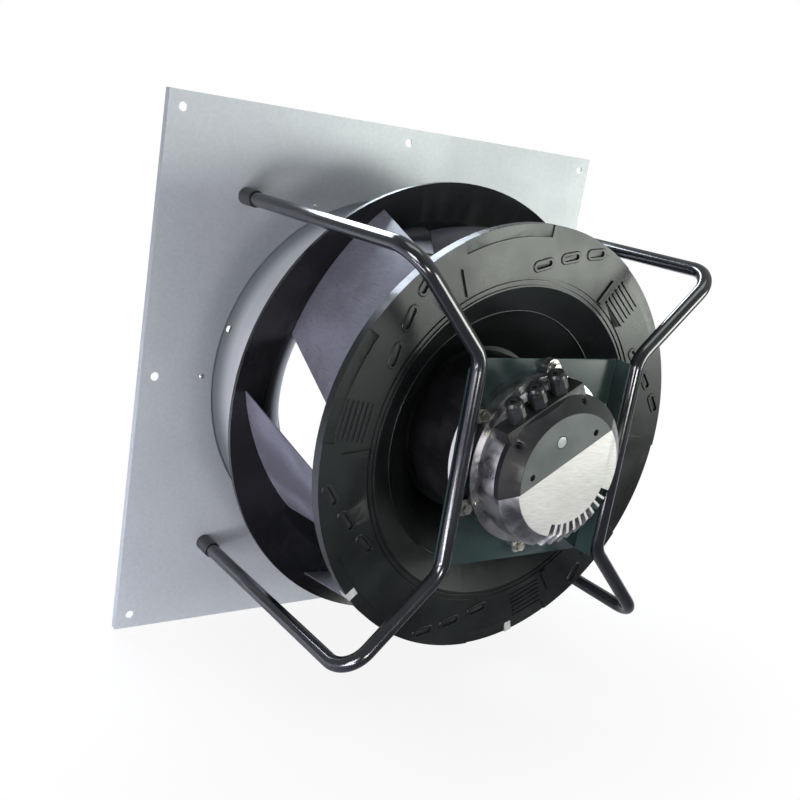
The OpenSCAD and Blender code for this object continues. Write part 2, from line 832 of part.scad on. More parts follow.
module front_bearing_outer() { bearing_outer(front_bearing_h); }
module front_bearing_inner() { bearing_inner(front_bearing_h); }
module front_bearing_balls() { bearing_balls(front_bearing_h); }
module front_bearing_cage() { bearing_cage(front_bearing_h); }
module rear_bearing_outer() { bearing_outer(rear_bearing_h); }
module rear_bearing_inner() { bearing_inner(rear_bearing_h); }
module rear_bearing_balls() { bearing_balls(rear_bearing_h); }
module rear_bearing_cage() { bearing_cage(rear_bearing_h); }

// Dished spring that preloads the front bearing
module bearing_spring() {
    sheet = 0.8;
    low = front_bearing_h + bearing_w;
    color(bright_steel) bench() rotate_extrude() polygon([
        [race_out_r + 0.5, low + spring_h - sheet], [race_out_r + 0.5, low + spring_h],
        [bearing_r - 0.3, low + sheet], [bearing_r - 0.3, low]]);
}

// Electronics housing
housing_screw_r = 1.6;
housing_screw_angles = [158, 209, 338, 29];
module at_housing_screws() {
    for (a = housing_screw_angles) rotate([0, 0, a])
        translate([(case_r + flange_r) / 2 + 0.2, 0, 0]) children();
}

// Frame of the cover: X along its straight edge, Y towards the glands
module cover_frame() {
    rotate([0, 0, case_turn]) children();
}

// Outside of the housing and cover together, shrunk by a wall where wanted
module case_form(low, shrink = 0) {
    rotate_extrude() polygon([[0, low], [case_r - shrink, low],
        [case_r - shrink, case_shoulder - shrink / 2], [face_r - shrink / 2, case_front - shrink],
        [0, case_front - shrink]]);
}

// Half space on the gland side of a line, from a height upwards
module gland_side(v, low) {
    translate([-2 * case_r, v, low]) cube([4 * case_r, 2 * case_r, case_front]);
}

// Block of the gland box, grown on its sides and running out to a distance v
module gland_block(grow, v) {
    low_v = edge_screw_v - box_depth - grow;
    translate([-box_u - grow, low_v, box_back - grow])
        cube([2 * (box_u + grow), v - low_v, box_h + grow]);
}

module fin_sector(r_in) {
    rotate([0, 0, -90 - fin_half_sweep]) rotate_extrude(angle = 2 * fin_half_sweep)
        translate([r_in, fin_floor]) square([2 * case_r - r_in, case_front]);
}

module fins() {
    step = 2 * fin_half_sweep / (fin_count + 1);
    intersection() {
        case_form(gasket_h);
        for (i = [1 : fin_count]) rotate([0, 0, -90 - fin_half_sweep + i * step])
            translate([fin_root_r - 3, -fin_t / 2, fin_floor - 1])
            cube([case_r, fin_t, case_h]);
    }
}

module at_panel_screws() {
    for (side = [-1, 1]) translate([side * screw_u, panel_screw_v, 0]) children();
}

module at_edge_screws() {
    for (side = [-1, 1]) translate([side * screw_u, edge_screw_v, 0]) children();
}

panel_screw_seat = 5;
module electronics_housing() {
    color(cast_metal) bench() difference() {
        cover_frame() union() {
            difference() {
                union() {
                    case_form(gasket_h);
                    rod(foot_ring_r, gasket_h, foot_ring_h);
                }
                gland_side(split_v, cover_h);
                fin_sector(fin_root_r);
                gland_block(clear, 2 * case_r);
                intersection() {
                    rod(case_r - case_wall, cavity_floor, case_front - case_wall);
                    gland_side(cavity_v, cavity_floor);
                }
            }
            fins();
            at_panel_screws() rod(post_r, cavity_floor - weld, case_front - panel_screw_seat);
            at_panel_screws() rod(post_r + post_shelf, cavity_floor - weld, board_h);
            at_edge_screws() rod(post_r, cavity_floor - weld, box_back - clear);
        }
        at_housing_screws() rod(housing_screw_r + clear, gasket_h - 1, foot_ring_h + 1);
        flange_screw_room();
        cover_frame() at_panel_screws() rod(cover_screw_d / 2 + clear, board_h, case_front);
        cover_frame() at_edge_screws() rod(cover_screw_d / 2 + clear, cavity_floor + 2, case_front);
    }
}

module housing_gasket() {
    color(rubber_black) bench() difference() {
        ring(case_r - case_wall, flange_r - 1, flange_h, gasket_h);
        at_housing_screws() rod(housing_screw_r + clear, flange_h - 1, gasket_h + 1);
        flange_screw_room();
    }
}

module housing_screws() {
    color(bright_steel) bench() at_housing_screws() {
        rod(housing_screw_r, flange_h - 5, foot_ring_h);
        rod(2 * housing_screw_r, foot_ring_h, foot_ring_h + 2.5);
    }
}

// Half cover with the gland box
module terminal_cover() {
    color(cover_grey) bench() cover_frame() difference() {
        union() {
            intersection() {
                case_form(cover_h);
                gland_side(split_v + clear, cover_h);
            }
            gland_block(0, box_v);
        }
        gland_side(box_v, 0);
        gland_side(chord_v, box_front);
        intersection() {
            case_form(cover_h - 1, case_wall);
            gland_side(split_v + clear + case_wall, cover_h - 1);
            union() {
                translate([-2 * case_r, 0, 0])
                    cube([4 * case_r, edge_screw_v - box_depth, 2 * case_front]);
                translate([-screw_u + head_room, 0, 0])
                    cube([2 * (screw_u - head_room), 2 * case_r, 2 * case_front]);
            }
        }
        translate([-screw_u + head_room, edge_screw_v - 2 * box_depth, box_back + box_wall])
            cube([2 * (screw_u - head_room), box_v - box_wall - edge_screw_v + 2 * box_depth,
                box_h - 2 * box_wall]);
        at_glands() rod(gland_r + clear, -box_wall - thread_back - 1, 1);
        intersection() {
            rod(face_r - 0.5, case_front - panel_t, case_front + 1);
            gland_side(split_v, 0);
        }
        translate([0, lens_v, 0]) rod(lens_r + clear, case_front - lens_depth - 1, case_front);
        at_panel_screws() rod(post_r + clear, cover_h - 1, case_front - panel_screw_seat);
        at_panel_screws() rod(cover_screw_d * 0.9, case_front - panel_screw_seat - 1, case_front);
        at_edge_screws() rod(cover_screw_d / 2 + clear, box_back - 1, case_front);
        at_edge_screws() rod(cover_screw_d * 0.9, box_front - 1, case_front);
    }
}

module cover_panel() {
    color(panel_grey) bench() cover_frame() difference() {
        intersection() {
            rod(face_r - 0.5 - clear, case_front - panel_t, case_front);
            gland_side(split_v + clear, 0);
        }
        translate([0, lens_v, 0]) rod(lens_r + clear, case_front - panel_t - 1, case_front + 1);
        at_panel_screws() rod(cover_screw_d * 0.9, case_front - panel_t - 1, case_front + 1);
    }
}

module cover_screws() {
    head = 2.4;
    color(bright_steel) bench() cover_frame() {
        at_panel_screws() {
            rod(cover_screw_d / 2, board_h + 2, case_front - panel_screw_seat);
            rod(cover_screw_d * 0.8, case_front - panel_screw_seat, case_front - panel_screw_seat + head);
        }
        at_edge_screws() {
            rod(cover_screw_d / 2, cavity_floor + 3, box_front - 1);
            rod(cover_screw_d * 0.8, box_front - 1, box_front - 1 + head);
        }
    }
}

module status_lens() {
    color("#eef1f2") bench() cover_frame() translate([0, lens_v, 0])
        rod(lens_r, case_front - lens_depth, case_front + 0.6);
}

// Printed circuit board under the cover, cut round the screw posts
module circuit_board() {
    color(board_green) bench() cover_frame() difference() {
        intersection() {
            rod(case_r - case_wall - 1, board_h, board_h + board_t);
            translate([-2 * case_r, cavity_v + 1, 0])
                cube([4 * case_r, edge_screw_v - 12 - cavity_v, 2 * case_front]);
        }
        at_panel_screws() rod(post_r + 0.3, board_h - 1, board_h + board_t + 1);
    }
}

// Cable glands: frame with its axis along +Z, gland wall at zero
module at_gland(i) {
    translate([i * gland_pitch, box_v, gland_axis_h]) rotate([-90, 0, 0]) children();
}

module at_glands() {
    for (i = [-1 : 1]) at_gland(i) children();
}

spigot_r = cap_r - 2.4;
spigot_len = cap_len - 5;
seal_r = cable_r + 1.8;
module gland_body(i) {
    color(black_plastic) bench() cover_frame() at_gland(i) difference() {
        union() {
            rod(gland_r, -box_wall - thread_back, weld);
            hexagon(gland_flats, 0, gland_hex_t);
            rod(spigot_r, gland_hex_t - weld, gland_hex_t + spigot_len);
        }
        rod(seal_r + clear, -box_wall - thread_back - 1, gland_hex_t + spigot_len + 1);
    }
}

// Dome nut with twelve grip flats and a soft edge
module gland_cap(i) {
    low = gland_hex_t + clear;
    high = gland_hex_t + cap_len;
    color(black_plastic) bench() cover_frame() at_gland(i) difference() {
        union() {
            translate([0, 0, low]) cylinder(r = cap_r, h = cap_len * 0.6, $fn = 12);
            rotate_extrude() polygon([[0, low], [cap_r * 0.93, low], [cap_r * 0.93, high - 3],
                [cap_r * 0.78, high], [0, high]]);
        }
        rod(spigot_r + clear, low - 1, gland_hex_t + spigot_len + clear);
        rod(seal_r + 0.6, low, high + 1);
    }
}

module gland_seal(i) {
    color(rubber_black) bench() cover_frame() at_gland(i)
        ring(cable_r, seal_r, gland_hex_t + 2, gland_hex_t + cap_len - 0.5);
}

// Impeller
module disc_blank() {
    flow_in = ring_inner_r + disc_t / 2;
    rotate_extrude() polygon([
        [disc_r, disc_flow_h - disc_rim_depth + disc_t], [disc_r, disc_h],
        [ring_inner_r, disc_h], [step_r + 2, disc_h - step_depth + 1],
        [step_r, disc_h - step_depth - 1], [floor_r + 1, floor_h + 2], [floor_r - 1, floor_h],
        [floor_hole_r, floor_h], [floor_hole_r, floor_back], [floor_r - 2, floor_back],
        [step_r + 1, disc_h - step_depth - disc_t - 1], [flow_in, disc_flow_h],
        [disc_r - disc_rim_t, disc_flow_h], [disc_r - disc_rim_t, disc_flow_h - disc_rim_depth + disc_t]]);
}

module clip_seats() {
    around(blade_count, pad_angle - pad_sweep / 2) rotate_extrude(angle = pad_sweep)
        translate([disc_r - pad_w, disc_h - pad_depth]) square([pad_w + 1, pad_depth + 1]);
}

module ring_grooves() {
    for (side = [-1, 1]) rotate_extrude()
        translate([groove_r + side * groove_pitch / 2 - groove_w / 2, disc_h - groove_depth])
        square([groove_w, groove_depth + 1]);
}

module rib_fields() {
    around(3, rib_angle) for (i = [0 : rib_count - 1])
        translate([rib_start_r + i * rib_pitch, -rib_len / 2, disc_h - weld])
        cube([rib_w, rib_len, rib_h + weld]);
}

module wedges() {
    root = groove_r + groove_pitch / 2 + groove_w;
    around(blade_count) translate([0, 0, disc_h - weld]) linear_extrude(wedge_h + weld)
        polygon([[root, -wedge_w / 2], [root + wedge_len, -0.4], [root + wedge_len, 0.4],
            [root, wedge_w / 2]]);
}

// The raised ribs, wedges and tab frames end where the flat ring ends
module back_disc() {
    frame_sink = disc_t / 2;
    window_len = tab_len + 2 * clear;
    window_w = tab_w + 2 * clear;
    color(black_plastic) bench() difference() {
        union() {
            difference() {
                disc_blank();
                clip_seats();
                ring_grooves();
            }
            intersection() {
                union() {
                    rib_fields();
                    wedges();
                    around(blade_count) at_tabs() translate([0, 0, disc_h - frame_sink])
                        linear_extrude(frame_sink + tab_frame_h)
                        stadium(window_len + 2 * tab_frame, window_w + 2 * tab_frame);
                }
                ring(ring_inner_r, disc_r, disc_flow_h, disc_h + rib_h + wedge_h + tab_frame_h);
            }
        }
        around(blade_count) at_tabs() translate([0, 0, disc_flow_h - 1])
            linear_extrude(disc_t + tab_frame_h + 2) stadium(window_len, window_w);
        around(hub_screw_count) translate([hub_screw_r, 0, 0])
            rod(hub_screw_d / 2 + clear, floor_back - 1, floor_h + 1);
    }
}

// Start of the shroud's cone, tucked into the end of its curve at a depth in the wall
tuck = 0.05;
function cone_root(depth) = [
    cone_start_r + depth * sin(shroud_slope) - weld * cos(shroud_slope),
    cone_start_h - depth * cos(shroud_slope) - weld * sin(shroud_slope)];

module front_shroud() {
    bead_low = shroud_rim_h - shroud_t / cos(shroud_slope) - shroud_bead;
    color(black_plastic) bench() union() {
        ring(eye_r, eye_r + shroud_t, curve_h - eye_lip, curve_h + weld);
        rotate_extrude() intersection() {
            translate([curve_r, curve_h]) difference() {
                circle(r = shroud_curve);
                circle(r = shroud_curve - shroud_t);
            }
            translate([curve_r, curve_h]) polygon([[0, 0], [-2 * shroud_curve, 0],
                [-2 * shroud_curve, 2 * shroud_curve],
                2 * shroud_curve * [-sin(shroud_slope), cos(shroud_slope)]]);
        }
        rotate_extrude() polygon([cone_root(tuck), [shroud_rim_r, shroud_rim_h],
            [shroud_rim_r, bead_low], [shroud_rim_r - shroud_t, bead_low],
            [shroud_rim_r - shroud_t, bead_low + shroud_bead - shroud_t * tan(shroud_slope)],
            cone_root(shroud_t - tuck)]);
    }
}

module blade(i) {
    color(blade_grey) bench() rotate([0, 0, (i - 1) * 360 / blade_count]) {
        blade_skin_solid();
        at_tabs() translate([0, 0, disc_flow_h - 2]) linear_extrude(2 + disc_t - tab_recess)
            stadium(tab_len, tab_w);
    }
}

module rotor_can() {
    nose_r = shaft_r + 3;
    color(cast_metal) bench() difference() {
        rotate_extrude() polygon([
            [shaft_r, floor_h], [rotor_r, floor_h], [rotor_r, rotor_open_h - rotor_bead_w],
            [rotor_r + rotor_bead, rotor_open_h - rotor_bead_w + rotor_bead / 2],
            [rotor_r + rotor_bead, rotor_open_h], [rotor_in_r, rotor_open_h],
            [rotor_in_r, rotor_floor], [boss_r, rotor_floor], [boss_r, rotor_floor + boss_h],
            [nose_r, rotor_floor + boss_h], [nose_r, rear_bearing_h], [shaft_r, rear_bearing_h]]);
        around(hub_screw_count) translate([hub_screw_r, 0, 0])
            rod(hub_screw_d / 2 + clear, floor_h - 1, rotor_floor + 1);
    }
}

module rotor_magnets() {
    low = stack_mid - magnet_len / 2;
    color("#3a3d42") bench() ring(magnet_in_r, rotor_in_r, low, low + magnet_len);
}

module motor_shaft() {
    color(bright_steel) bench() rod(shaft_r, floor_h, front_bearing_h + bearing_w + 1);
}

// Screwed in from the inlet side
module hub_screws() {
    head = 4;
    color(bright_steel) bench() around(hub_screw_count) translate([hub_screw_r, 0, 0]) {
        rod(hub_screw_d / 2, floor_back, rotor_floor - 0.5);
        rod(hub_screw_d * 0.85, floor_back - head, floor_back);
    }
}

// Spring clip over the disc's rim
module balance_clip(a) {
    seat = disc_h - pad_depth;
    back = disc_flow_h - disc_rim_depth + disc_t;
    color(bright_steel) bench() rotate([0, 0, a - clip_sweep / 2]) rotate_extrude(angle = clip_sweep)
        polygon([[disc_r - clip_leg, seat], [disc_r, seat], [disc_r, back],
            [disc_r - disc_rim_t, back], [disc_r - disc_rim_t, back - clip_t],
            [disc_r + clip_t, back - clip_t],
            [disc_r + clip_t, seat + clip_t], [disc_r - clip_leg, seat + clip_t]]);
}

module balance_clip_1() { balance_clip(clip_angle_1); }
module balance_clip_2() { balance_clip(clip_angle_2); }

inlet_plate();
inlet_nozzle();
nozzle_rivets();
support_tube_left();
support_tube_right();
foot_sleeve(-1, 1);  // foot_sleeve_1
foot_sleeve(1, 1);  // foot_sleeve_2
foot_sleeve(-1, -1);  // foot_sleeve_3
foot_sleeve(1, -1);  // foot_sleeve_4
foot_screws();
motor_plate();
weld_beads();
stator_flange();
flange_screws();
flange_washers();
flange_nuts();
electronics_housing();
housing_gasket();
housing_screws();
terminal_cover();
cover_panel();
cover_screws();
status_lens();
for (i = [1 : 3]) gland_body(i - 2);
for (i = [1 : 3]) gland_cap(i - 2);
for (i = [1 : 3]) gland_seal(i - 2);
circuit_board();
stator_stack();
stator_windings();
front_bearing_outer();
rear_bearing_outer();
bearing_spring();
back_disc();
front_shroud();
for (i = blade_numbers) blade(i);
rotor_can();
rotor_magnets();
motor_shaft();
hub_screws();
front_bearing_inner();
rear_bearing_inner();
balance_clip_1();
balance_clip_2();
front_bearing_balls();
front_bearing_cage();
rear_bearing_balls();
rear_bearing_cage();
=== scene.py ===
import json
import math
from types import SimpleNamespace
import bmesh
import bpy
from mathutils import Matrix, Vector


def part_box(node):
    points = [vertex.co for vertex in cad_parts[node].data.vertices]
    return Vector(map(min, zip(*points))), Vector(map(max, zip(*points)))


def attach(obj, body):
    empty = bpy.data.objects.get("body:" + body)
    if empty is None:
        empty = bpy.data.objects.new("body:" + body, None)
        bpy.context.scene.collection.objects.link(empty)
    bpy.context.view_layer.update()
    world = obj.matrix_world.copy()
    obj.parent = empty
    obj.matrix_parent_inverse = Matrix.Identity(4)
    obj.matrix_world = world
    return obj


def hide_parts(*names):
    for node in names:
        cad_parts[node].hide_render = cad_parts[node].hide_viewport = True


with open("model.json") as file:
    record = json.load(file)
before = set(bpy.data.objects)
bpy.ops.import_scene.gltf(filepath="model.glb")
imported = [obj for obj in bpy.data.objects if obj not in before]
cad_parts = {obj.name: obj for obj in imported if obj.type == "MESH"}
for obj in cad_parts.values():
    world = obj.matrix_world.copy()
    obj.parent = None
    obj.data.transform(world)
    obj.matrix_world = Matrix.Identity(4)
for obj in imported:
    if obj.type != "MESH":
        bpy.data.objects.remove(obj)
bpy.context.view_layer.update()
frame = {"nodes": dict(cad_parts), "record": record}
nodes = frame["nodes"]
scene = bpy.context.scene
slot_of = {row["node"]: row["material_slot"] for row in frame["record"]["subparts"]}
body_of = {name: body for body, members in frame["record"]["behaviour"]["bodies"].items()
           for name in members}

# Camera, at the photograph's place in front of the motor and a little above the fan axis.
# It is turned a few degrees about its own view line, as the photograph is.
CAMERA_SPOT = (-0.7632, -1.0612, 0.3061)
SENSOR_WIDTH = 36.0
FOCAL_LENGTH = 46.35
camera = bpy.data.objects.new("camera", bpy.data.cameras.new("camera"))
camera_right = Vector((0.8067, -0.5689, 0.1601)).normalized()
camera_ahead = Vector((0.5908, 0.7683, -0.2463)).normalized()
camera_up = camera_right.cross(camera_ahead)
camera_turn = Matrix((camera_right, camera_up, -camera_ahead)).transposed().to_4x4()
camera.matrix_world = Matrix.Translation(CAMERA_SPOT) @ camera_turn
camera.data.sensor_width = SENSOR_WIDTH
camera.data.lens = FOCAL_LENGTH
scene.collection.objects.link(camera)
scene.camera = camera

# Studio: a white floor at the plate's lower edge and a white backdrop, lit by six soft boxes. The
# room that the fan mirrors is dark on the left and in front, so that black paint stays black.
scene.view_settings.view_transform = "Standard"
FLOOR_LEVEL = -0.3151
FLOOR_HALF = 6.0
MIX_COLOURS = (6, 7)
MIX_RESULT = 2


def add_node(tree, kind, values=None, **settings):
    """A shader node with its settings made and its sockets set or linked."""
    node = tree.nodes.new(kind)
    for key, value in settings.items():
        setattr(node, key, value)
    for key, value in (values or {}).items():
        if isinstance(value, bpy.types.NodeSocket):
            tree.links.new(value, node.inputs[key])
        else:
            node.inputs[key].default_value = value
    return node


def ramp(tree, value, low, high, to_low=0.0, to_high=1.0):
    """The value brought from one range to another along a smooth step."""
    return add_node(tree, "ShaderNodeMapRange", {"Value": value, "From Min": low, "From Max": high,
                                                 "To Min": to_low, "To Max": to_high},
                    interpolation_type="SMOOTHSTEP").outputs["Result"]


def calc(tree, operation, first, second=0.0):
    """The result of one sum on one or two values."""
    return add_node(tree, "ShaderNodeMath", {0: first, 1: second}, operation=operation).outputs["Value"]


def mix_colour(tree, factor, first, second):
    """Two colours mixed by a factor; each is a socket or three numbers."""
    node = add_node(tree, "ShaderNodeMix", {"Factor": factor}, data_type="RGBA")
    for key, colour in zip(MIX_COLOURS, (first, second)):
        if isinstance(colour, bpy.types.NodeSocket):
            tree.links.new(colour, node.inputs[key])
        else:
            node.inputs[key].default_value = (*colour, 1.0)
    return node.outputs[MIX_RESULT]


def axes(tree, vector):
    """The X, Y and Z of a vector socket."""
    return add_node(tree, "ShaderNodeSeparateXYZ", {0: vector}).outputs


def place(name, bm):
    """The finished mesh as an object at the origin."""
    mesh = bpy.data.meshes.new(name)
    bm.to_mesh(mesh)
    bm.free()
    piece = bpy.data.objects.new(name, mesh)
    scene.collection.objects.link(piece)
    return piece


def direct_rays(tree):
    """One for rays that look at the backdrop straight or through glass."""
    path = add_node(tree, "ShaderNodeLightPath")
    return calc(tree, "MAXIMUM", path.outputs["Is Camera Ray"], path.outputs["Is Transmission Ray"])


floor_mesh = bmesh.new()
bmesh.ops.create_grid(floor_mesh, x_segments=1, y_segments=1, size=FLOOR_HALF,
                      matrix=Matrix.Translation((0, 0, FLOOR_LEVEL)))
floor = place("floor", floor_mesh)
floor_paint = bpy.data.materials.new("floor_paint")
floor_paint.use_nodes = True
floor_tree = floor_paint.node_tree
floor_tree.nodes.clear()
floor_spot = add_node(floor_tree, "ShaderNodeTexCoord").outputs["Object"]
floor_reach = add_node(floor_tree, "ShaderNodeVectorMath", {0: floor_spot},
                       operation="LENGTH").outputs["Value"]
floor_back = ramp(floor_tree, axes(floor_tree, floor_spot)["Y"], low=-0.50, high=-0.12)
floor_tone = mix_colour(floor_tree, floor_back, (0.16, 0.16, 0.18), (0.90, 0.88, 0.95))
floor_matt = add_node(floor_tree, "ShaderNodeBsdfDiffuse", {"Color": floor_tone})
floor_white = add_node(floor_tree, "ShaderNodeEmission", {"Color": (1, 1, 1, 1), "Strength": 1.0})
floor_share = calc(floor_tree, "MULTIPLY", direct_rays(floor_tree),
                   ramp(floor_tree, floor_reach, low=0.30, high=0.75, to_low=0.86))
floor_mix = add_node(floor_tree, "ShaderNodeMixShader", {0: floor_share, 1: floor_matt.outputs["BSDF"],
                                                         2: floor_white.outputs["Emission"]})
add_node(floor_tree, "ShaderNodeOutputMaterial", {"Surface": floor_mix.outputs["Shader"]})
floor.data.materials.append(floor_paint)

world = bpy.data.worlds.new("studio")
world.use_nodes = True
scene.world = world
sky = world.node_tree
sky.nodes.clear()
sky_axes = axes(sky, add_node(sky, "ShaderNodeTexCoord").outputs["Generated"])
sky_right = ramp(sky, sky_axes["X"], low=-0.6, high=0.9, to_low=0.07, to_high=0.42)
sky_top = ramp(sky, sky_axes["Z"], low=-0.05, high=0.9, to_high=0.18)
sky_back = ramp(sky, sky_axes["Y"], low=0.0, high=0.45, to_high=0.30)
sky_level = calc(sky, "MAXIMUM", calc(sky, "ADD", sky_right, sky_top), sky_back)
sky_room = mix_colour(sky, sky_level, (0.0, 0.0, 0.0), (0.96, 1.0, 0.985))
sky_seen = mix_colour(sky, direct_rays(sky), sky_room, (1.0, 1.0, 1.0))
sky_light = add_node(sky, "ShaderNodeBackground", {"Color": sky_seen, "Strength": 1.0})
add_node(sky, "ShaderNodeOutputWorld", {"Surface": sky_light.outputs["Background"]})


def soft_box(name, stand, target, size, power, colour):
    """A rectangular lamp standing at one point and facing another."""
    lamp = bpy.data.lights.new(name, "AREA")
    lamp.shape = "RECTANGLE"
    lamp.size, lamp.size_y = size
    lamp.energy = power
    lamp.color = colour
    box = bpy.data.objects.new(name, lamp)
    turn = (Vector(target) - Vector(stand)).to_track_quat("-Z", "Y")
    box.matrix_world = Matrix.Translation(stand) @ turn.to_matrix().to_4x4()
    scene.collection.objects.link(box)


soft_box("key_box", stand=(1.6, -1.85, 0.10), target=(0, -0.25, 0.10), size=(1.3, 0.6), power=25,
         colour=(0.95, 1.0, 0.92))
soft_box("top_box", stand=(-0.2, -0.7, 2.1), target=(0, -0.2, 0), size=(1.6, 1.0), power=13,
         colour=(0.94, 1.0, 0.98))
soft_box("front_box", stand=(-0.55, -2.1, -0.22), target=(0, -0.3, 0), size=(0.5, 0.4), power=14,
         colour=(1.0, 0.98, 0.96))
soft_box("left_box", stand=(-1.7, -0.9, -0.05), target=(-0.25, 0.0, -0.2), size=(0.8, 0.6), power=22,
         colour=(0.90, 0.90, 1.0))
soft_box("back_box", stand=(-0.1, 1.3, 1.25), target=(0, -0.2, 0.1), size=(1.6, 0.4), power=42,
         colour=(0.78, 0.88, 1.0))
soft_box("low_box", stand=(-0.75, -0.50, -0.29), target=(-0.32, 0.0, -0.22), size=(0.5, 0.05), power=2.6,
         colour=(0.92, 0.90, 1.0))

# Inlet plate: one square sheet of galvanised steel with a folded rim, a round opening and
# punched fixing holes. Its zinc coat has a faint spangle and clouds a little.
MM = 0.001
EDGE_SEGMENTS = 2
MERGE_DIST = 0.01 * MM
SPANGLE_SCALE = 320.0
SPANGLE_SHARE = 0.12
FLECK_SHARE = 0.30
CLOUD_GLOSS = 0.6
GRAIN_GLOSS = 0.4
FLOAT, VECTOR = "NodeSocketFloat", "NodeSocketVector"


def effect_group(name, inputs, outputs):
    """An empty shader group with named sockets; returns it with its two end nodes."""
    group = bpy.data.node_groups.new(name, "ShaderNodeTree")
    for socket, kind in inputs:
        group.interface.new_socket(socket, in_out="INPUT", socket_type=kind)
    for socket, kind in outputs:
        group.interface.new_socket(socket, in_out="OUTPUT", socket_type=kind)
    return group, add_node(group, "NodeGroupInput"), add_node(group, "NodeGroupOutput")


clouds, clouds_in, clouds_out = effect_group(
    "clouds", [("Spot", VECTOR), ("Scale", FLOAT)], [("Value", FLOAT)])
cloud_noise = add_node(clouds, "ShaderNodeTexNoise",
                       {"Vector": clouds_in.outputs["Spot"], "Scale": clouds_in.outputs["Scale"],
                        "Detail": 4.0, "Roughness": 0.55})
clouds.links.new(ramp(clouds, cloud_noise.outputs["Fac"], 0.32, 0.68), clouds_out.inputs["Value"])

grain, grain_in, grain_out = effect_group(
    "grain", [("Spot", VECTOR), ("Scale", FLOAT), ("Strength", FLOAT), ("Depth", FLOAT)],
    [("Value", FLOAT), ("Normal", VECTOR)])
grain_noise = add_node(grain, "ShaderNodeTexNoise",
                       {"Vector": grain_in.outputs["Spot"], "Scale": grain_in.outputs["Scale"],
                        "Detail": 2.0, "Roughness": 0.6})
grain_bump = add_node(grain, "ShaderNodeBump",
                      {"Strength": grain_in.outputs["Strength"], "Distance": grain_in.outputs["Depth"],
                       "Height": grain_noise.outputs["Fac"]})
grain.links.new(grain_noise.outputs["Fac"], grain_out.inputs["Value"])
grain.links.new(grain_bump.outputs["Normal"], grain_out.inputs["Normal"])


def cloud(tree, spot, scale):
    """A soft cloud pattern between none and one."""
    return add_node(tree, "ShaderNodeGroup", {"Spot": spot, "Scale": scale},
                    node_tree=clouds).outputs["Value"]


def new_finish(name, dark, light, rough, metal=0.0, drift=9.0, grit=900.0, depth=0.04 * MM, strength=0.35):
    """A finish whose tone and gloss cloud over the surface, with a fine grain under the gloss.
    It holds the material, its tree, shader, coordinates and clouded colour for further work."""
    material = bpy.data.materials.new(name)
    material.use_nodes = True
    tree = material.node_tree
    tree.nodes.clear()
    spot = add_node(tree, "ShaderNodeTexCoord").outputs["Object"]
    tone = cloud(tree, spot, drift)
    skin = add_node(tree, "ShaderNodeGroup", {"Spot": spot, "Scale": grit, "Strength": strength,
                                              "Depth": depth}, node_tree=grain)
    colour = mix_colour(tree, tone, dark, light)
    fleck_share = ramp(tree, skin.outputs["Value"], 0.30, 0.70, to_high=FLECK_SHARE)
    fleck = mix_colour(tree, fleck_share, colour, dark)
    clouded = calc(tree, "MULTIPLY", tone, CLOUD_GLOSS)
    grained = calc(tree, "MULTIPLY", skin.outputs["Value"], GRAIN_GLOSS)
    gloss = ramp(tree, calc(tree, "ADD", clouded, grained), 0.1, 0.9, *rough)
    shader = add_node(tree, "ShaderNodeBsdfPrincipled",
                      {"Base Color": fleck, "Roughness": gloss, "Metallic": metal,
                       "Normal": skin.outputs["Normal"]})
    add_node(tree, "ShaderNodeOutputMaterial", {"Surface": shader.outputs["BSDF"]})
    return SimpleNamespace(material=material, tree=tree, shader=shader, spot=spot, tone=fleck)


def recolour(finish, factor, first, second):
    """Puts a mix of two colours on the finish's base colour."""
    colour = mix_colour(finish.tree, factor, first, second)
    finish.tree.links.new(colour, finish.shader.inputs["Base Color"])


def dress(piece, node_name, finish):
    """The piece stands for the node, moves with its body and wears the finish."""
    piece.data.materials.clear()
    piece.data.materials.append(finish.material)
    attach(piece, body_of[node_name])
    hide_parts(node_name)


def merged_copy(node_name, flat_angle=0.4):
    """A node's mesh with its doubled points joined and its triangles merged into whole faces."""
    bm = bmesh.new()
    bm.from_mesh(nodes[node_name].data)
    bmesh.ops.remove_doubles(bm, verts=bm.verts, dist=MERGE_DIST)
    if flat_angle:
        bmesh.ops.dissolve_limit(bm, angle_limit=math.radians(flat_angle), verts=bm.verts, edges=bm.edges)
    bmesh.ops.recalc_face_normals(bm, faces=bm.faces)
    return bm


def smooth(piece, crease=None):
    """Smooth shading, broken at edges that are sharper than the crease angle."""
    for face in piece.data.polygons:
        face.use_smooth = True
    if crease:
        piece.data.set_sharp_from_angle(angle=math.radians(crease))


def round_edges(piece, radius, crease=34.0):
    """Smooth shading with the edges sharper than the crease angle rounded off."""
    smooth(piece, crease)
    edge = piece.modifiers.new("rounded_edges", "BEVEL")
    edge.width = radius
    edge.segments = EDGE_SEGMENTS
    edge.limit_method = "ANGLE"
    edge.angle_limit = math.radians(crease)
    edge.use_clamp_overlap = True
    edge.harden_normals = True


def soften(node_name, finish, radius, crease=34.0, flat_angle=0.4):
    """A copy of a solid with rounded edges that stands for it."""
    piece = place(node_name + "_finish", merged_copy(node_name, flat_angle))
    round_edges(piece, radius, crease)
    dress(piece, node_name, finish)


zinc = new_finish("zinc_coat", (0.39, 0.41, 0.43), (0.43, 0.45, 0.47), (0.42, 0.52), metal=0.45, drift=4.0,
                  grit=420.0, depth=0.03 * MM, strength=0.2)
spangle = add_node(zinc.tree, "ShaderNodeTexVoronoi",
                   {"Vector": zinc.spot, "Scale": SPANGLE_SCALE, "Randomness": 1.0})
spangle_tone = add_node(zinc.tree, "ShaderNodeSeparateColor", {0: spangle.outputs["Color"]}).outputs["Red"]
recolour(zinc, calc(zinc.tree, "MULTIPLY", spangle_tone, SPANGLE_SHARE), zinc.tone, (0.66, 0.69, 0.71))
soften("inlet_plate", zinc, radius=0.9 * MM)

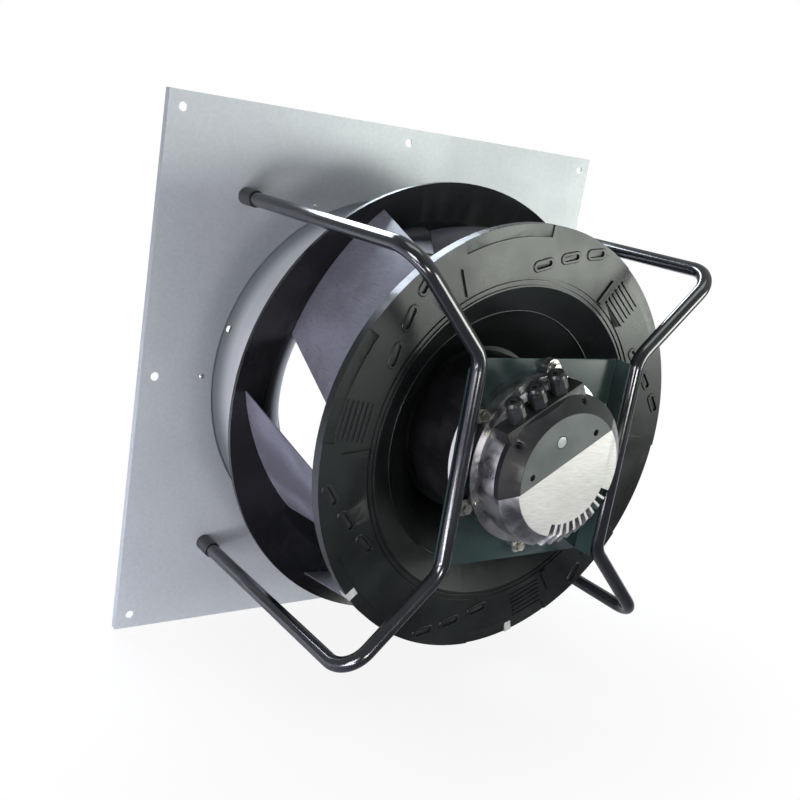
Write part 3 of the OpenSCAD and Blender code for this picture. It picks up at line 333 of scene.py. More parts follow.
# Nozzle: sheet steel spun over a form into a flat ring, a bell and a short lip, riveted behind
# the plate. Spinning leaves fine rings round the axis. On its motor side the ring's outer band is
# painted darker, a painted shade for the impeller's shadow and dark reflection on it.
NOZZLE_EDGE = 0.5 * MM
# Radii of the painted shade band on the ring's motor side, and how dark it gets.
SHADE_FROM = 204 * MM
SHADE_TO = 221 * MM
SHADE_SHARE = 0.8
SPIN_RINGS = 220.0
SHEET = 2 * MM
FLANGE_R = 253 * MM
BELL_R = 228 * MM
BELL_STEPS = 18
THROAT_R = 165 * MM
BELL_TOP = 39 * MM
LIP_END = 52 * MM
NOZZLE_BACK = 4 * MM
TAP_R = 219 * MM
TAP_ANGLE = 165
TAP_HOLE_R = 4 * MM
TAP_STEPS = 152
HOLE_INSET = 0.4 * MM
HOLE_CUTS = 5
FAN_AXIS = Vector((0, 1, 0))


def axis_radius(finish):
    """The distance of a surface point from the fan axis."""
    parts = axes(finish.tree, finish.spot)
    squares = [calc(finish.tree, "POWER", parts[key], 2.0) for key in ("X", "Z")]
    return calc(finish.tree, "SQRT", calc(finish.tree, "ADD", *squares))


def toward_motor(tree, vector):
    """How far a vector socket reaches to the motor side, along -Y."""
    return calc(tree, "MULTIPLY", axes(tree, vector)["Y"], -1.0)


def bell(throat, depth, shares):
    """Radius and depth pairs of the bell's quarter ellipse, at shares of a quarter turn."""
    return [(BELL_R - (BELL_R - throat) * math.sin(share * math.pi / 2),
             -BELL_TOP + depth * math.cos(share * math.pi / 2)) for share in shares]


def spin_outline(bm, outline, steps, closed, turn=0.0):
    """Radius and depth pairs, joined by edges and spun once round the fan axis from a first turn."""
    verts = [bm.verts.new((radius, depth, 0)) for radius, depth in outline]
    starts = verts[-1:] + verts[:-1] if closed else verts[:-1]
    ends = verts if closed else verts[1:]
    edges = [bm.edges.new(pair) for pair in zip(starts, ends)]
    if turn:
        bmesh.ops.rotate(bm, matrix=Matrix.Rotation(turn, 3, "Y"), verts=verts)
    bmesh.ops.spin(bm, geom=verts + edges, cent=(0, 0, 0), axis=FAN_AXIS, angle=2 * math.pi, steps=steps,
                   use_merge=True)


def face_near(bm, spot):
    """The face whose middle is nearest to a spot."""
    return min(bm.faces, key=lambda face: (face.calc_center_median() - spot).length)


def round_hole(bm, spots, axis_spot, radius):
    """A round hole along Y through the faces next to the spots, joined by a wall."""
    rims = []
    for spot in spots:
        face = face_near(bm, spot)
        bmesh.ops.inset_individual(bm, faces=[face], thickness=HOLE_INSET)
        bmesh.ops.subdivide_edges(bm, edges=face.edges[:], cuts=HOLE_CUTS)
        face = face_near(bm, spot)
        for vert in face.verts:
            away = Vector((vert.co.x - axis_spot.x, 0, vert.co.z - axis_spot.z)).normalized() * radius
            vert.co.x, vert.co.z = axis_spot.x + away.x, axis_spot.z + away.z
        rims += face.edges[:]
        bmesh.ops.delete(bm, geom=[face], context="FACES_ONLY")
    bmesh.ops.bridge_loops(bm, edges=rims)


spun = new_finish("spun_coat", (0.66, 0.68, 0.70), (0.74, 0.76, 0.78), (0.28, 0.34), metal=0.4, drift=7.0,
                  grit=500.0, strength=0.03)
spun_radius = axis_radius(spun)
spun_count = calc(spun.tree, "MULTIPLY", spun_radius, SPIN_RINGS)
spun_lines = add_node(spun.tree, "ShaderNodeTexNoise", {"W": spun_count, "Scale": 1.0, "Detail": 2.0},
                      noise_dimensions="1D").outputs["Fac"]
spun_rings = mix_colour(spun.tree, ramp(spun.tree, spun_lines, 0.3, 0.7, to_high=0.25), spun.tone,
                        (0.58, 0.60, 0.61))
surface_normal = add_node(spun.tree, "ShaderNodeNewGeometry").outputs["Normal"]
motor_side = ramp(spun.tree, toward_motor(spun.tree, surface_normal), 0.1, 0.4)
# Painted shade: the ring's outer band darkens on its motor side.
painted_shade_band = ramp(spun.tree, spun_radius, SHADE_FROM, SHADE_TO, to_high=SHADE_SHARE)
recolour(spun, calc(spun.tree, "MULTIPLY", motor_side, painted_shade_band), spun_rings, (0.16, 0.19, 0.20))
bell_shares = [step / BELL_STEPS for step in range(BELL_STEPS + 1)]
front_bell = bell(THROAT_R + SHEET, BELL_TOP - SHEET + NOZZLE_BACK, bell_shares)
rear_bell = bell(THROAT_R, BELL_TOP + NOZZLE_BACK, bell_shares[::-1])
lip = [(THROAT_R + SHEET, -LIP_END), (THROAT_R, -LIP_END)]
nozzle_outline = [(FLANGE_R, NOZZLE_BACK - SHEET)] + front_bell + lip + rear_bell + [(FLANGE_R, NOZZLE_BACK)]
tap_turn = math.pi * 2 * (round(TAP_ANGLE * TAP_STEPS / 360) + 0.5) / TAP_STEPS
nozzle = bmesh.new()
spin_outline(nozzle, nozzle_outline, TAP_STEPS, closed=True, turn=math.radians(-TAP_ANGLE) + tap_turn)
tap_spot = Vector((math.cos(math.radians(TAP_ANGLE)), 0, math.sin(math.radians(TAP_ANGLE)))) * TAP_R
round_hole(nozzle, [tap_spot, tap_spot + FAN_AXIS * (2 * SHEET)], tap_spot, TAP_HOLE_R)
bmesh.ops.recalc_face_normals(nozzle, faces=nozzle.faces)
nozzle_piece = place("inlet_nozzle_finish", nozzle)
round_edges(nozzle_piece, NOZZLE_EDGE, crease=40.0)
dress(nozzle_piece, "inlet_nozzle", spun)

# Rivets and screws: small steel parts with a bright zinc coat that shows a yellow bloom.
# Rivets are set from the motor side; hexagon heads are cold formed with rounded corners.
BLOOM_SCALE = 130.0
BLOOM_SHARE = 0.25
bloom = new_finish("zinc_bloom", (0.50, 0.50, 0.46), (0.72, 0.71, 0.66), (0.26, 0.42), metal=1.0, drift=90.0,
                   grit=2500.0, depth=0.01 * MM)
bloom_patch = cloud(bloom.tree, bloom.spot, BLOOM_SCALE)
recolour(bloom, calc(bloom.tree, "MULTIPLY", bloom_patch, BLOOM_SHARE), bloom.tone, (0.70, 0.60, 0.30))
for name, edge_mm in (("nozzle_rivets", 0.3), ("foot_screws", 0.6), ("flange_screws", 0.6),
                      ("flange_washers", 0.3), ("flange_nuts", 0.5), ("housing_screws", 0.4),
                      ("hub_screws", 0.4)):
    soften(name, bloom, radius=edge_mm * MM)

# Foot sleeves: moulded plastic cups pushed over the tube ends, so that paint and zinc don't
# rub. Each is black with a satin mould skin.
sleeve = new_finish("sleeve_skin", (0.010, 0.011, 0.012), (0.020, 0.021, 0.023), (0.34, 0.50), drift=60.0,
                    grit=1800.0)
for number in range(1, 5):
    soften(f"foot_sleeve_{number}", sleeve, radius=0.6 * MM)

# Support tubes: one steel tube on each side, bent cold from foot to foot past the motor and
# painted gloss black. The paint shows a slight orange peel in its highlights.
TUBE_R = 8 * MM
BEND_R = 32 * MM
BEND_STEP = 5
FOOT_X = 212 * MM
UPRIGHT_X = 113 * MM
TUBE_DEPTH = 330.793 * MM
SLEEVE_BASE = 3 * MM
TUBE_SIDES = 40
CORNER_CUT = BEND_R * math.tan(math.radians(22.5))
LEG_RUN = TUBE_DEPTH - SLEEVE_BASE - BEND_R
SLANT_RUN = (FOOT_X - UPRIGHT_X) * math.sqrt(2) - BEND_R - CORNER_CUT
UPRIGHT_RUN = 2 * (UPRIGHT_X - CORNER_CUT)
WELD_DIST = 0.001 * MM
PAINT_GLOSS = 0.9


def unique(items):
    """The items in order, each once."""
    return list(dict.fromkeys(items))


def verts_in(geom):
    """The points in a result of a mesh operator."""
    return [item for item in geom if isinstance(item, bmesh.types.BMVert)]


def edges_in(geom):
    """The edges in a result of a mesh operator."""
    return [item for item in geom if isinstance(item, bmesh.types.BMEdge)]


def start_ring(bm, spot, turn, radius, sides):
    """The edges of a circle at a spot, turned by a matrix."""
    ring = bmesh.ops.create_circle(bm, segments=sides, radius=radius, matrix=Matrix.Translation(spot) @ turn)
    return unique(edge for vert in ring["verts"] for edge in vert.link_edges)


def run_ring(bm, edges, travel):
    """Draws a ring straight along a vector and returns its far end."""
    grown = bmesh.ops.extrude_edge_only(bm, edges=edges)["geom"]
    bmesh.ops.translate(bm, vec=travel, verts=verts_in(grown))
    return edges_in(grown)


def turn_ring(bm, edges, centre, axis, angle, steps):
    """Spins a ring round a bend and returns its far end."""
    verts = unique(vert for edge in edges for vert in edge.verts)
    last = bmesh.ops.spin(bm, geom=verts + edges, cent=centre, axis=axis, angle=angle, steps=steps)
    return edges_in(last["geom_last"])


def bent_tube(side):
    """One tube, its ring run straight and spun round each bend in turn."""
    bm = bmesh.new()
    spot = Vector((side * FOOT_X, -SLEEVE_BASE, FOOT_X))
    ahead = -FAN_AXIS
    inward = Vector((-side, 0, -1)).normalized()
    down = Vector((0, 0, -1))
    outward = Vector((side, 0, -1)).normalized()
    edges = start_ring(bm, spot, Matrix.Rotation(math.pi / 2, 4, "X"), TUBE_R, TUBE_SIDES)
    for run, turn in ((LEG_RUN, inward), (SLANT_RUN, down), (UPRIGHT_RUN, outward), (SLANT_RUN, FAN_AXIS),
                      (LEG_RUN, None)):
        edges = run_ring(bm, edges, ahead * run)
        spot = spot + ahead * run
        if turn is None:
            continue
        angle = ahead.angle(turn)
        centre = spot + (turn - ahead * ahead.dot(turn)).normalized() * BEND_R
        axis = ahead.cross(turn).normalized()
        edges = turn_ring(bm, edges, centre, axis, angle, round(math.degrees(angle) / BEND_STEP))
        spot = centre + Matrix.Rotation(angle, 3, axis) @ (spot - centre)
        ahead = turn
    bmesh.ops.holes_fill(bm, edges=bm.edges)
    bmesh.ops.remove_doubles(bm, verts=bm.verts, dist=WELD_DIST)
    bmesh.ops.recalc_face_normals(bm, faces=bm.faces)
    return bm


gloss_black = new_finish("gloss_black", (0.007, 0.008, 0.010), (0.013, 0.014, 0.017), (0.13, 0.21),
                         drift=14.0, grit=420.0, depth=0.06 * MM, strength=0.30)
gloss_black.shader.inputs["Specular IOR Level"].default_value = PAINT_GLOSS
for name, side in (("support_tube_left", -1), ("support_tube_right", 1)):
    tube = place(name + "_finish", bent_tube(side))
    smooth(tube, crease=40)
    dress(tube, name, gloss_black)

# Motor plate: a channel folded from steel sheet, welded between the tubes and painted with
# them. The welds are short fillet beads with the ripples that a torch leaves.
RIPPLE_PITCH = 2.4 * MM
RIPPLE_HEIGHT = 0.35 * MM
RIPPLE_CUTS = 40
LONG_EDGE = 20 * MM
plate_black = new_finish("plate_black", (0.022, 0.038, 0.037), (0.032, 0.053, 0.052), (0.15, 0.22),
                         drift=8.0, grit=400.0, depth=0.03 * MM, strength=0.15)
soften("motor_plate", plate_black, radius=1.2 * MM)
weld_mesh = merged_copy("weld_beads")
long_edges = [edge for edge in weld_mesh.edges if edge.calc_length() > LONG_EDGE]
bmesh.ops.subdivide_edges(weld_mesh, edges=long_edges, cuts=RIPPLE_CUTS, use_grid_fill=True)
weld_mesh.normal_update()
for vert in weld_mesh.verts:
    vert.co += vert.normal * (RIPPLE_HEIGHT * (math.sin(2 * math.pi * vert.co.z / RIPPLE_PITCH) - 1))
weld_piece = place("weld_beads_finish", weld_mesh)
smooth(weld_piece)
dress(weld_piece, "weld_beads", plate_black)

# Stator flange and electronics housing: raw aluminium castings, one screwed to the channel and
# one to the flange. The sides keep a mottled cast skin and the flat front is machined bright.
# A thin wall closes the housing's sloped shoulder on both sides of the cover.
FRONT_FACE = -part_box("electronics_housing")[0].y
MILLED_FROM = FRONT_FACE - 1.2 * MM
MILLED_TO = FRONT_FACE - 0.4 * MM
MILLED_ROUGH = 0.55
MILLED_METAL = 0.45
STREAK_SCALE = (90.0, 1.0, 900.0)
STAIN_SCALE = 28.0
STAIN_SHARE = 0.22
CASE_R = 84 * MM
FACE_R = 67 * MM
SLOPE_H = 13.5 * MM
SLOPE_W = CASE_R - FACE_R
CASE_WALL = 4 * MM
SPLIT_V = 16.5 * MM
CAVITY_V = -20 * MM
LAP = 1.2 * MM
SKIM = 0.06 * MM
SHOULDER_STEPS = 180
COVER_TURN = math.radians(30)


def streaks(finish, scale, turn=(0, 0, 0)):
    """Noise that uneven scales draw out into streaks."""
    spot = add_node(finish.tree, "ShaderNodeMapping",
                    {"Vector": finish.spot, "Rotation": turn, "Scale": scale}).outputs["Vector"]
    return add_node(finish.tree, "ShaderNodeTexNoise",
                    {"Vector": spot, "Scale": 1.0, "Detail": 3.0}).outputs["Fac"]


def slope_point(radius, rise):
    """A point of the sloped shoulder, as radius and depth, raised along the shoulder's normal."""
    height = FRONT_FACE - (radius - FACE_R) * SLOPE_H / SLOPE_W
    normal = Vector((SLOPE_H, SLOPE_W)).normalized()
    return radius + rise * normal.x, -(height + rise * normal.y)


cast = new_finish("cast_skin", (0.30, 0.30, 0.31), (0.62, 0.61, 0.62), (0.26, 0.42), metal=1.0, drift=45.0,
                  grit=600.0, depth=0.20 * MM, strength=0.35)
cast_front = ramp(cast.tree, toward_motor(cast.tree, cast.spot), MILLED_FROM, MILLED_TO)
mill_marks = ramp(cast.tree, streaks(cast, STREAK_SCALE, turn=(0, -COVER_TURN, 0)), 0.3, 0.7)
stain = calc(cast.tree, "MULTIPLY", cloud(cast.tree, cast.spot, STAIN_SCALE), STAIN_SHARE)
milled = mix_colour(cast.tree, mill_marks, (0.56, 0.55, 0.53), (0.68, 0.68, 0.67))
worn = mix_colour(cast.tree, stain, milled, (0.62, 0.55, 0.47))
recolour(cast, cast_front, cast.tone, worn)
cast_rough = cast.shader.inputs["Roughness"].links[0].from_socket
milled_rough = add_node(cast.tree, "ShaderNodeMix", {"Factor": cast_front, 2: cast_rough, 3: MILLED_ROUGH})
milled_metal = ramp(cast.tree, cast_front, 0.0, 1.0, to_low=1.0, to_high=MILLED_METAL)
cast.tree.links.new(milled_rough.outputs[0], cast.shader.inputs["Roughness"])
cast.tree.links.new(milled_metal, cast.shader.inputs["Metallic"])
soften("stator_flange", cast, radius=0.8 * MM)
soften("electronics_housing", cast, radius=0.7 * MM, flat_angle=0)
across = Vector((-math.sin(COVER_TURN), 0, math.cos(COVER_TURN)))
high_end = CASE_R - CASE_WALL + LAP
low_end = FACE_R + CASE_WALL * SLOPE_W / SLOPE_H - LAP
shoulder = bmesh.new()
spin_outline(shoulder, [slope_point(high_end, SKIM), slope_point(low_end, SKIM), slope_point(low_end, -LAP),
                        slope_point(high_end, -LAP)], SHOULDER_STEPS, closed=True)
for level, way in ((SPLIT_V - SKIM, across), (CAVITY_V - LAP, -across)):
    bmesh.ops.bisect_plane(shoulder, geom=shoulder.verts[:] + shoulder.edges[:] + shoulder.faces[:],
                           plane_co=across * level, plane_no=way, clear_outer=True)
bmesh.ops.holes_fill(shoulder, edges=shoulder.edges)
bmesh.ops.recalc_face_normals(shoulder, faces=shoulder.faces)
shoulder_piece = place("housing_shoulder", shoulder)
smooth(shoulder_piece, crease=34)
shoulder_piece.data.materials.append(cast.material)
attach(shoulder_piece, "frame")

# Gasket and gland seals: black rubber, cut from sheet under the housing and moulded as rings in
# the glands, with a dull skin.
rubber = new_finish("rubber_skin", (0.010, 0.010, 0.010), (0.022, 0.022, 0.022), (0.60, 0.80), drift=70.0,
                    grit=2200.0)
for name in ("housing_gasket", "gland_seal_1", "gland_seal_2", "gland_seal_3"):
    soften(name, rubber, radius=0.2 * MM)

# Terminal cover: a half cover moulded in dark grey plastic with the gland box, held by four
# screws. The lighter panel is let into it flush, and the lens stands in the panel.
cover = new_finish("cover_skin", (0.010, 0.010, 0.011), (0.018, 0.018, 0.019), (0.30, 0.42), drift=25.0,
                   grit=2600.0, depth=0.05 * MM)
panel = new_finish("panel_skin", (0.085, 0.096, 0.093), (0.112, 0.124, 0.120), (0.34, 0.44), drift=30.0,
                   grit=1800.0, depth=0.02 * MM)
soften("terminal_cover", cover, radius=0.8 * MM)
soften("cover_panel", panel, radius=0.25 * MM)

# Cover screws: small pan heads with a cross recess, in steel coloured dark grey. Two sit deep in the
# panel and two hold the gland box.
HEAD_GRID = (-1.0, -0.55, -0.16, 0.16, 0.55, 1.0)
HEAD_CELLS = 5
HEAD_T = 2.4 * MM
RECESS_REACH = 0.6
RECESS_MIDDLE = 0.05
RECESS_DEPTH = 1.3 * MM
SHANK_SHARE = 0.6


def cross_screw(bm, low, high):
    """A screw with its head towards -Y in the box between two corners; the recess is a cross."""
    radius = (high.x - low.x) / 2
    middle = (low + high) / 2
    head = Vector((middle.x, low.y, middle.z))
    fresh = bmesh.ops.create_grid(bm, x_segments=HEAD_CELLS, y_segments=HEAD_CELLS, size=1.0)["verts"]
    for vert in fresh:
        column = round((vert.co.x + 1) * HEAD_CELLS / 2)
        row = round((vert.co.y + 1) * HEAD_CELLS / 2)
        vert.co.x, vert.co.y = HEAD_GRID[column], HEAD_GRID[row]
        if column in (0, HEAD_CELLS) or row in (0, HEAD_CELLS):
            vert.co = vert.co.normalized()
    bmesh.ops.scale(bm, vec=(radius, radius, 1), verts=fresh)
    bmesh.ops.rotate(bm, matrix=Matrix.Rotation(math.pi / 2, 3, "X"), verts=fresh)
    bmesh.ops.translate(bm, vec=head, verts=fresh)
    faces = unique(face for vert in fresh for face in vert.link_faces)
    cross = []
    for face in faces:
        away = face.calc_center_median() - head
        narrow = min(abs(away.x), abs(away.z)) < RECESS_MIDDLE * radius
        if narrow and away.length < RECESS_REACH * radius:
            cross.append(face)
    rim = unique(edge for face in faces for edge in face.edges if edge.is_boundary)
    sunk = bmesh.ops.extrude_face_region(bm, geom=cross)["geom"]
    bmesh.ops.translate(bm, vec=(0, RECESS_DEPTH, 0), verts=verts_in(sunk))
    bmesh.ops.delete(bm, geom=cross, context="FACES")
    wall = bmesh.ops.extrude_edge_only(bm, edges=rim)["geom"]
    bmesh.ops.translate(bm, vec=(0, HEAD_T, 0), verts=verts_in(wall))
    skirt = [edge for edge in edges_in(wall) if edge.is_boundary]
    under = bmesh.ops.extrude_edge_only(bm, edges=skirt)["geom"]
    bmesh.ops.scale(bm, vec=(SHANK_SHARE, 1, SHANK_SHARE), verts=verts_in(under),
                    space=Matrix.Translation((-middle.x, 0, -middle.z)))
    neck = [edge for edge in edges_in(under) if edge.is_boundary]
    shank = bmesh.ops.extrude_edge_only(bm, edges=neck)["geom"]
    bmesh.ops.translate(bm, vec=(0, high.y - low.y - HEAD_T, 0), verts=verts_in(shank))
    tip = [edge for edge in edges_in(shank) if edge.is_boundary]
    bmesh.ops.contextual_create(bm, geom=tip)


def joined_groups(verts):
    """The points in groups that their edges join."""
    left = dict.fromkeys(verts)
    groups = []
    while left:
        group = [next(iter(left))]
        del left[group[0]]
        for vert in group:
            for edge in vert.link_edges:
                other = edge.other_vert(vert)
                if other in left:
                    del left[other]
                    group.append(other)
        groups.append(group)
    return groups


def island_boxes(node_name):
    """The lowest and highest corner of each separate solid in a node."""
    bm = merged_copy(node_name)
    boxes = []
    for group in joined_groups(bm.verts):
        low = Vector([min(vert.co[k] for vert in group) for k in range(3)])
        high = Vector([max(vert.co[k] for vert in group) for k in range(3)])
        boxes.append((low, high))
    bm.free()
    return boxes


screw_dark = new_finish("screw_dark", (0.020, 0.022, 0.024), (0.075, 0.078, 0.080), (0.28, 0.45), metal=0.9,
                        drift=200.0, grit=3000.0, depth=0.01 * MM)
screw_mesh = bmesh.new()
for low, high in island_boxes("cover_screws"):
    cross_screw(screw_mesh, low, high)
bmesh.ops.recalc_face_normals(screw_mesh, faces=screw_mesh.faces)
screw_piece = place("cover_screws_finish", screw_mesh)
round_edges(screw_piece, radius=0.25 * MM)
dress(screw_piece, "cover_screws", screw_dark)

# Status lens: a milky plastic lens pressed into the panel, domed a little, with a thin black
# seal ring round it.
lens_low, lens_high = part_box("status_lens")
lens_middle = (lens_low + lens_high) / 2
panel_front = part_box("cover_panel")[0].y
LENS_R = (lens_high.x - lens_low.x) / 2
LENS_GLOW = 2 * MM
LENS_MILK = 0.15
DOME = 0.35 * MM
DOME_FLAT = 0.6
DOME_SINK = 0.3
RING_T = 0.45 * MM
RING_SQUASH = 0.7


def spun_piece(name, outline, centre, steps=48):
    """An outline of radius and depth pairs spun round a line along Y through the centre."""
    bm = bmesh.new()
    spin_outline(bm, outline, steps, closed=False)
    bmesh.ops.remove_doubles(bm, verts=bm.verts, dist=WELD_DIST)
    bmesh.ops.translate(bm, vec=(centre.x, 0, centre.z), verts=bm.verts)
    bmesh.ops.recalc_face_normals(bm, faces=bm.faces)
    piece = place(name, bm)
    smooth(piece, crease=40)
    return piece


def bead_outline(radius, depth, thick, steps, squash=1.0):
    """A round section at a radius and a depth, flattened along the axis by a share."""
    turns = [math.pi * 2 * step / steps for step in range(steps + 1)]
    return [(radius + thick * math.cos(turn), depth + thick * squash * math.sin(turn)) for turn in turns]


milky = new_finish("lens_skin", (0.38, 0.40, 0.40), (0.46, 0.48, 0.48), (0.16, 0.24), drift=60.0, grit=1500.0,
                   depth=0.01 * MM)
milky.shader.inputs["Subsurface Weight"].default_value = LENS_MILK
milky.shader.inputs["Subsurface Radius"].default_value = (LENS_GLOW, LENS_GLOW, LENS_GLOW)
lens_outline = [(0, lens_high.y), (LENS_R, lens_high.y), (LENS_R, lens_low.y + 2 * DOME)]
lens_outline += [(LENS_R - DOME * (1 - math.cos(turn)), lens_low.y + 2 * DOME - DOME * math.sin(turn))
                 for turn in (math.pi / 6, math.pi / 3, math.pi / 2)]
lens_outline += [(LENS_R * DOME_FLAT, lens_low.y + DOME_SINK * DOME), (0, lens_low.y)]
dress(spun_piece("status_lens_finish", lens_outline, lens_middle), "status_lens", milky)
ring_outline = bead_outline(LENS_R + RING_T, panel_front, RING_T, steps=10, squash=RING_SQUASH)
lens_ring = spun_piece("lens_ring", ring_outline, lens_middle)
lens_ring.data.materials.append(rubber.material)
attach(lens_ring, "frame")

# Cable glands: each a threaded body with a hexagon and a dome nut with grip flats, moulded in
# black nylon with a fine skin.
nylon = new_finish("gland_skin", (0.009, 0.010, 0.011), (0.020, 0.022, 0.024), (0.26, 0.40), drift=70.0,
                   grit=2000.0, depth=0.03 * MM)
for number in range(1, 4):
    soften(f"gland_body_{number}", nylon, radius=0.4 * MM, crease=22.0)
    soften(f"gland_cap_{number}", nylon, radius=0.5 * MM, crease=22.0)

# Inner motor: board, laminated stator, coils, magnets, bearings and shaft. They sit inside the
# castings and keep their solids, each with its own material. A row of looks holds the dark and
# the light tone, the range of roughness, the share of metal and the scales of clouds and grain.
inner_looks = {
    "board_laminate": ((0.015, 0.085, 0.035), (0.025, 0.120, 0.050), (0.30, 0.42), 0.0, 60.0, 1200.0),
    "lamination_steel": ((0.22, 0.22, 0.23), (0.36, 0.36, 0.37), (0.35, 0.50), 0.9, 40.0, 1500.0),
    "winding_copper": ((0.42, 0.16, 0.07), (0.62, 0.27, 0.13), (0.22, 0.36), 1.0, 80.0, 1600.0),
    "magnet_ferrite": ((0.030, 0.031, 0.034), (0.055, 0.056, 0.060), (0.45, 0.60), 0.3, 50.0, 1800.0),
    "bearing_steel": ((0.55, 0.55, 0.55), (0.68, 0.68, 0.68), (0.12, 0.22), 1.0, 60.0, 2000.0),
    "cage_plastic": ((0.030, 0.028, 0.026), (0.060, 0.056, 0.050), (0.40, 0.55), 0.0, 90.0, 2200.0),
}
inner_skins = {slot: new_finish(slot + "_skin", dark, light, rough, metal, drift, grit, depth=0.02 * MM)
               for slot, (dark, light, rough, metal, drift, grit) in inner_looks.items()}
for name, node in nodes.items():
    if slot_of[name] in inner_skins:
        node.data.materials.clear()
        node.data.materials.append(inner_skins[slot_of[name]].material)

# Rotor can: a turned aluminium pot with the magnets inside, painted black on its wall. The bead
# at its open end is coloured near white: partly bright metal from the lathe, partly a painted
# highlight for the glint on its rim.
BRIGHT_R = 93.5 * MM
BRIGHT_METAL = 0.3
rotor = new_finish("rotor_skin", (0.006, 0.006, 0.007), (0.012, 0.012, 0.013), (0.35, 0.50), drift=30.0)
# Painted highlight, partly real bright metal: the rim bead turns near white.
rotor_rim_and_glint = ramp(rotor.tree, axis_radius(rotor), BRIGHT_R - 0.5 * MM, BRIGHT_R + 0.3 * MM)
recolour(rotor, rotor_rim_and_glint, rotor.tone, (0.92, 0.90, 0.88))
rotor_metal = calc(rotor.tree, "MULTIPLY", rotor_rim_and_glint, BRIGHT_METAL)
rotor.tree.links.new(rotor_metal, rotor.shader.inputs["Metallic"])
soften("rotor_can", rotor, radius=0.5 * MM)

# Back disc: glass-filled black plastic moulded in one shot with its dish, bead rings, ring
# grooves, clip seats, ribs and tab windows. The skin is satin and slightly clouded by the flow.
DISC_FRONT = -274.793 * MM
DISC_BEADS_MM = ((146, 20), (122, 41))
BEAD_T = 1.3 * MM
DISC_GLOSS = 0.38
disc = new_finish("disc_skin", (0.005, 0.006, 0.006), (0.010, 0.012, 0.012), (0.26, 0.37), drift=11.0,
                  grit=1100.0, strength=0.2)
disc.shader.inputs["Specular IOR Level"].default_value = DISC_GLOSS
soften("back_disc", disc, radius=0.3 * MM, crease=11.0)
for radius_mm, depth_mm in DISC_BEADS_MM:
    section = bead_outline(radius_mm * MM, DISC_FRONT + depth_mm * MM, BEAD_T, steps=12)
    bead = spun_piece(f"disc_bead_{radius_mm}", section, Vector((0, 0, 0)), steps=160)
    bead.data.materials.append(disc.material)
    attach(bead, "impeller")

# Front shroud: a moulded ring in the same black plastic, curved from the eye to the outer cone.
# Its blades are welded on, so it has no fasteners.
shroud = new_finish("shroud_skin", (0.006, 0.006, 0.007), (0.013, 0.013, 0.015), (0.22, 0.32), drift=8.0,
                    grit=1000.0, depth=0.06 * MM)
soften("front_shroud", shroud, radius=0.8 * MM, crease=45.0)

# Tab frames: the raised oval rim that the disc's mould leaves round each tab window, in the
# disc's own plastic. The blades' tabs give the place and the size of each.
TAB_START = 269.8 * MM
TAB_CUT = TAB_START + 1.4 * MM
FRAME_GAP = 2.6 * MM
FRAME_T = 1.0 * MM
FRAME_STEPS = 12


def tab_groups(node_name):
    """The points of each tab of a blade, beyond the disc's flow side."""
    bm = merged_copy(node_name, flat_angle=0)
    groups = joined_groups([vert for vert in bm.verts if vert.co.y < -TAB_CUT])
    spots = [[vert.co.copy() for vert in group] for group in groups]
    bm.free()
    return spots


def long_direction(spots, middle):
    """The direction along which points seen along the fan axis are spread most."""
    away = [spot - middle for spot in spots]
    spread_x = sum(step.x * step.x for step in away)
    spread_z = sum(step.z * step.z for step in away)
    spread_both = sum(step.x * step.z for step in away)
    turn = 0.5 * math.atan2(2 * spread_both, spread_x - spread_z)
    return Vector((math.cos(turn), 0, math.sin(turn)))


def oval_bead(bm, centre, along, half_run, radius):
    """A round bead on an oval path: two straight runs and two half turns."""
    start = centre + along * half_run + FAN_AXIS.cross(along) * radius
    edges = start_ring(bm, start, along.to_track_quat("Z", "Y").to_matrix().to_4x4(), FRAME_T, FRAME_STEPS)
    for way in (-1, 1):
        edges = run_ring(bm, edges, along * (2 * way * half_run))
        edges = turn_ring(bm, edges, centre + along * (way * half_run), FAN_AXIS, math.pi, FRAME_STEPS)


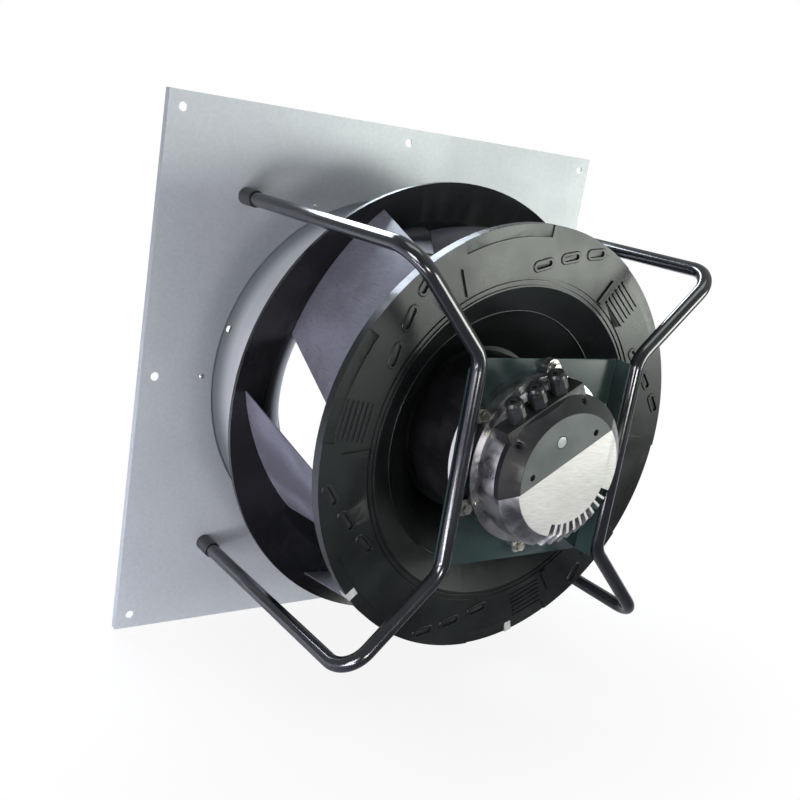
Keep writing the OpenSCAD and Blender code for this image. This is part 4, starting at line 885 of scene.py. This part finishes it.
frames_mesh = bmesh.new()
for number in range(1, 7):
    for spots in tab_groups(f"blade_{number}"):
        middle = sum(spots, Vector()) / len(spots)
        along = long_direction(spots, middle)
        side = FAN_AXIS.cross(along)
        lengths = [(spot - middle).dot(along) for spot in spots]
        widths = [(spot - middle).dot(side) for spot in spots]
        half_l = (max(lengths) - min(lengths)) / 2
        half_w = (max(widths) - min(widths)) / 2
        middle += along * (max(lengths) + min(lengths)) / 2 + side * (max(widths) + min(widths)) / 2
        middle.y = DISC_FRONT
        oval_bead(frames_mesh, middle, along, half_l - half_w, half_w + FRAME_GAP)
bmesh.ops.remove_doubles(frames_mesh, verts=frames_mesh.verts, dist=2 * WELD_DIST)
bmesh.ops.recalc_face_normals(frames_mesh, faces=frames_mesh.faces)
frames_piece = place("tab_frames", frames_mesh)
smooth(frames_piece)
frames_piece.data.materials.append(disc.material)
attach(frames_piece, "impeller")

# Blades: six twisted blades in grey fibre-filled plastic, thin at both edges. Fibres lie along
# the flow and leave fine streaks in the grey. The grey carries a lavender tint that is partly a
# painted sheen of the lamps. Their tabs in the disc's recessed windows are painted near black,
# as painted shade.
FIBRE_SCALE = (900.0, 60.0, 900.0)
# The lavender grey is partly a painted sheen of the lamps.
blade = new_finish("blade_skin", (0.105, 0.105, 0.128), (0.175, 0.175, 0.212), (0.30, 0.42), drift=16.0,
                   grit=800.0, depth=0.05 * MM)
fibre = ramp(blade.tree, streaks(blade, FIBRE_SCALE), 0.45, 0.75, to_high=0.4)
blade_streaks = mix_colour(blade.tree, fibre, blade.tone, (0.035, 0.035, 0.042))
# Painted shade: the tabs in the disc's recessed windows turn near black.
blade_tab_shade = ramp(blade.tree, toward_motor(blade.tree, blade.spot), TAB_START, TAB_START + MM)
recolour(blade, blade_tab_shade, blade_streaks, (0.010, 0.010, 0.011))
for number in range(1, 7):
    soften(f"blade_{number}", blade, radius=0.5 * MM, crease=38.0, flat_angle=0)

# Balance clips: two bright spring steel clips pushed over the disc's rim on their seats. The
# bearing's dished spring is the same steel.
spring = new_finish("spring_bright", (0.55, 0.55, 0.54), (0.70, 0.70, 0.69), (0.30, 0.42), metal=0.5,
                    drift=120.0, grit=2400.0, depth=0.01 * MM)
for name in ("balance_clip_1", "balance_clip_2", "bearing_spring"):
    soften(name, spring, radius=0.2 * MM)
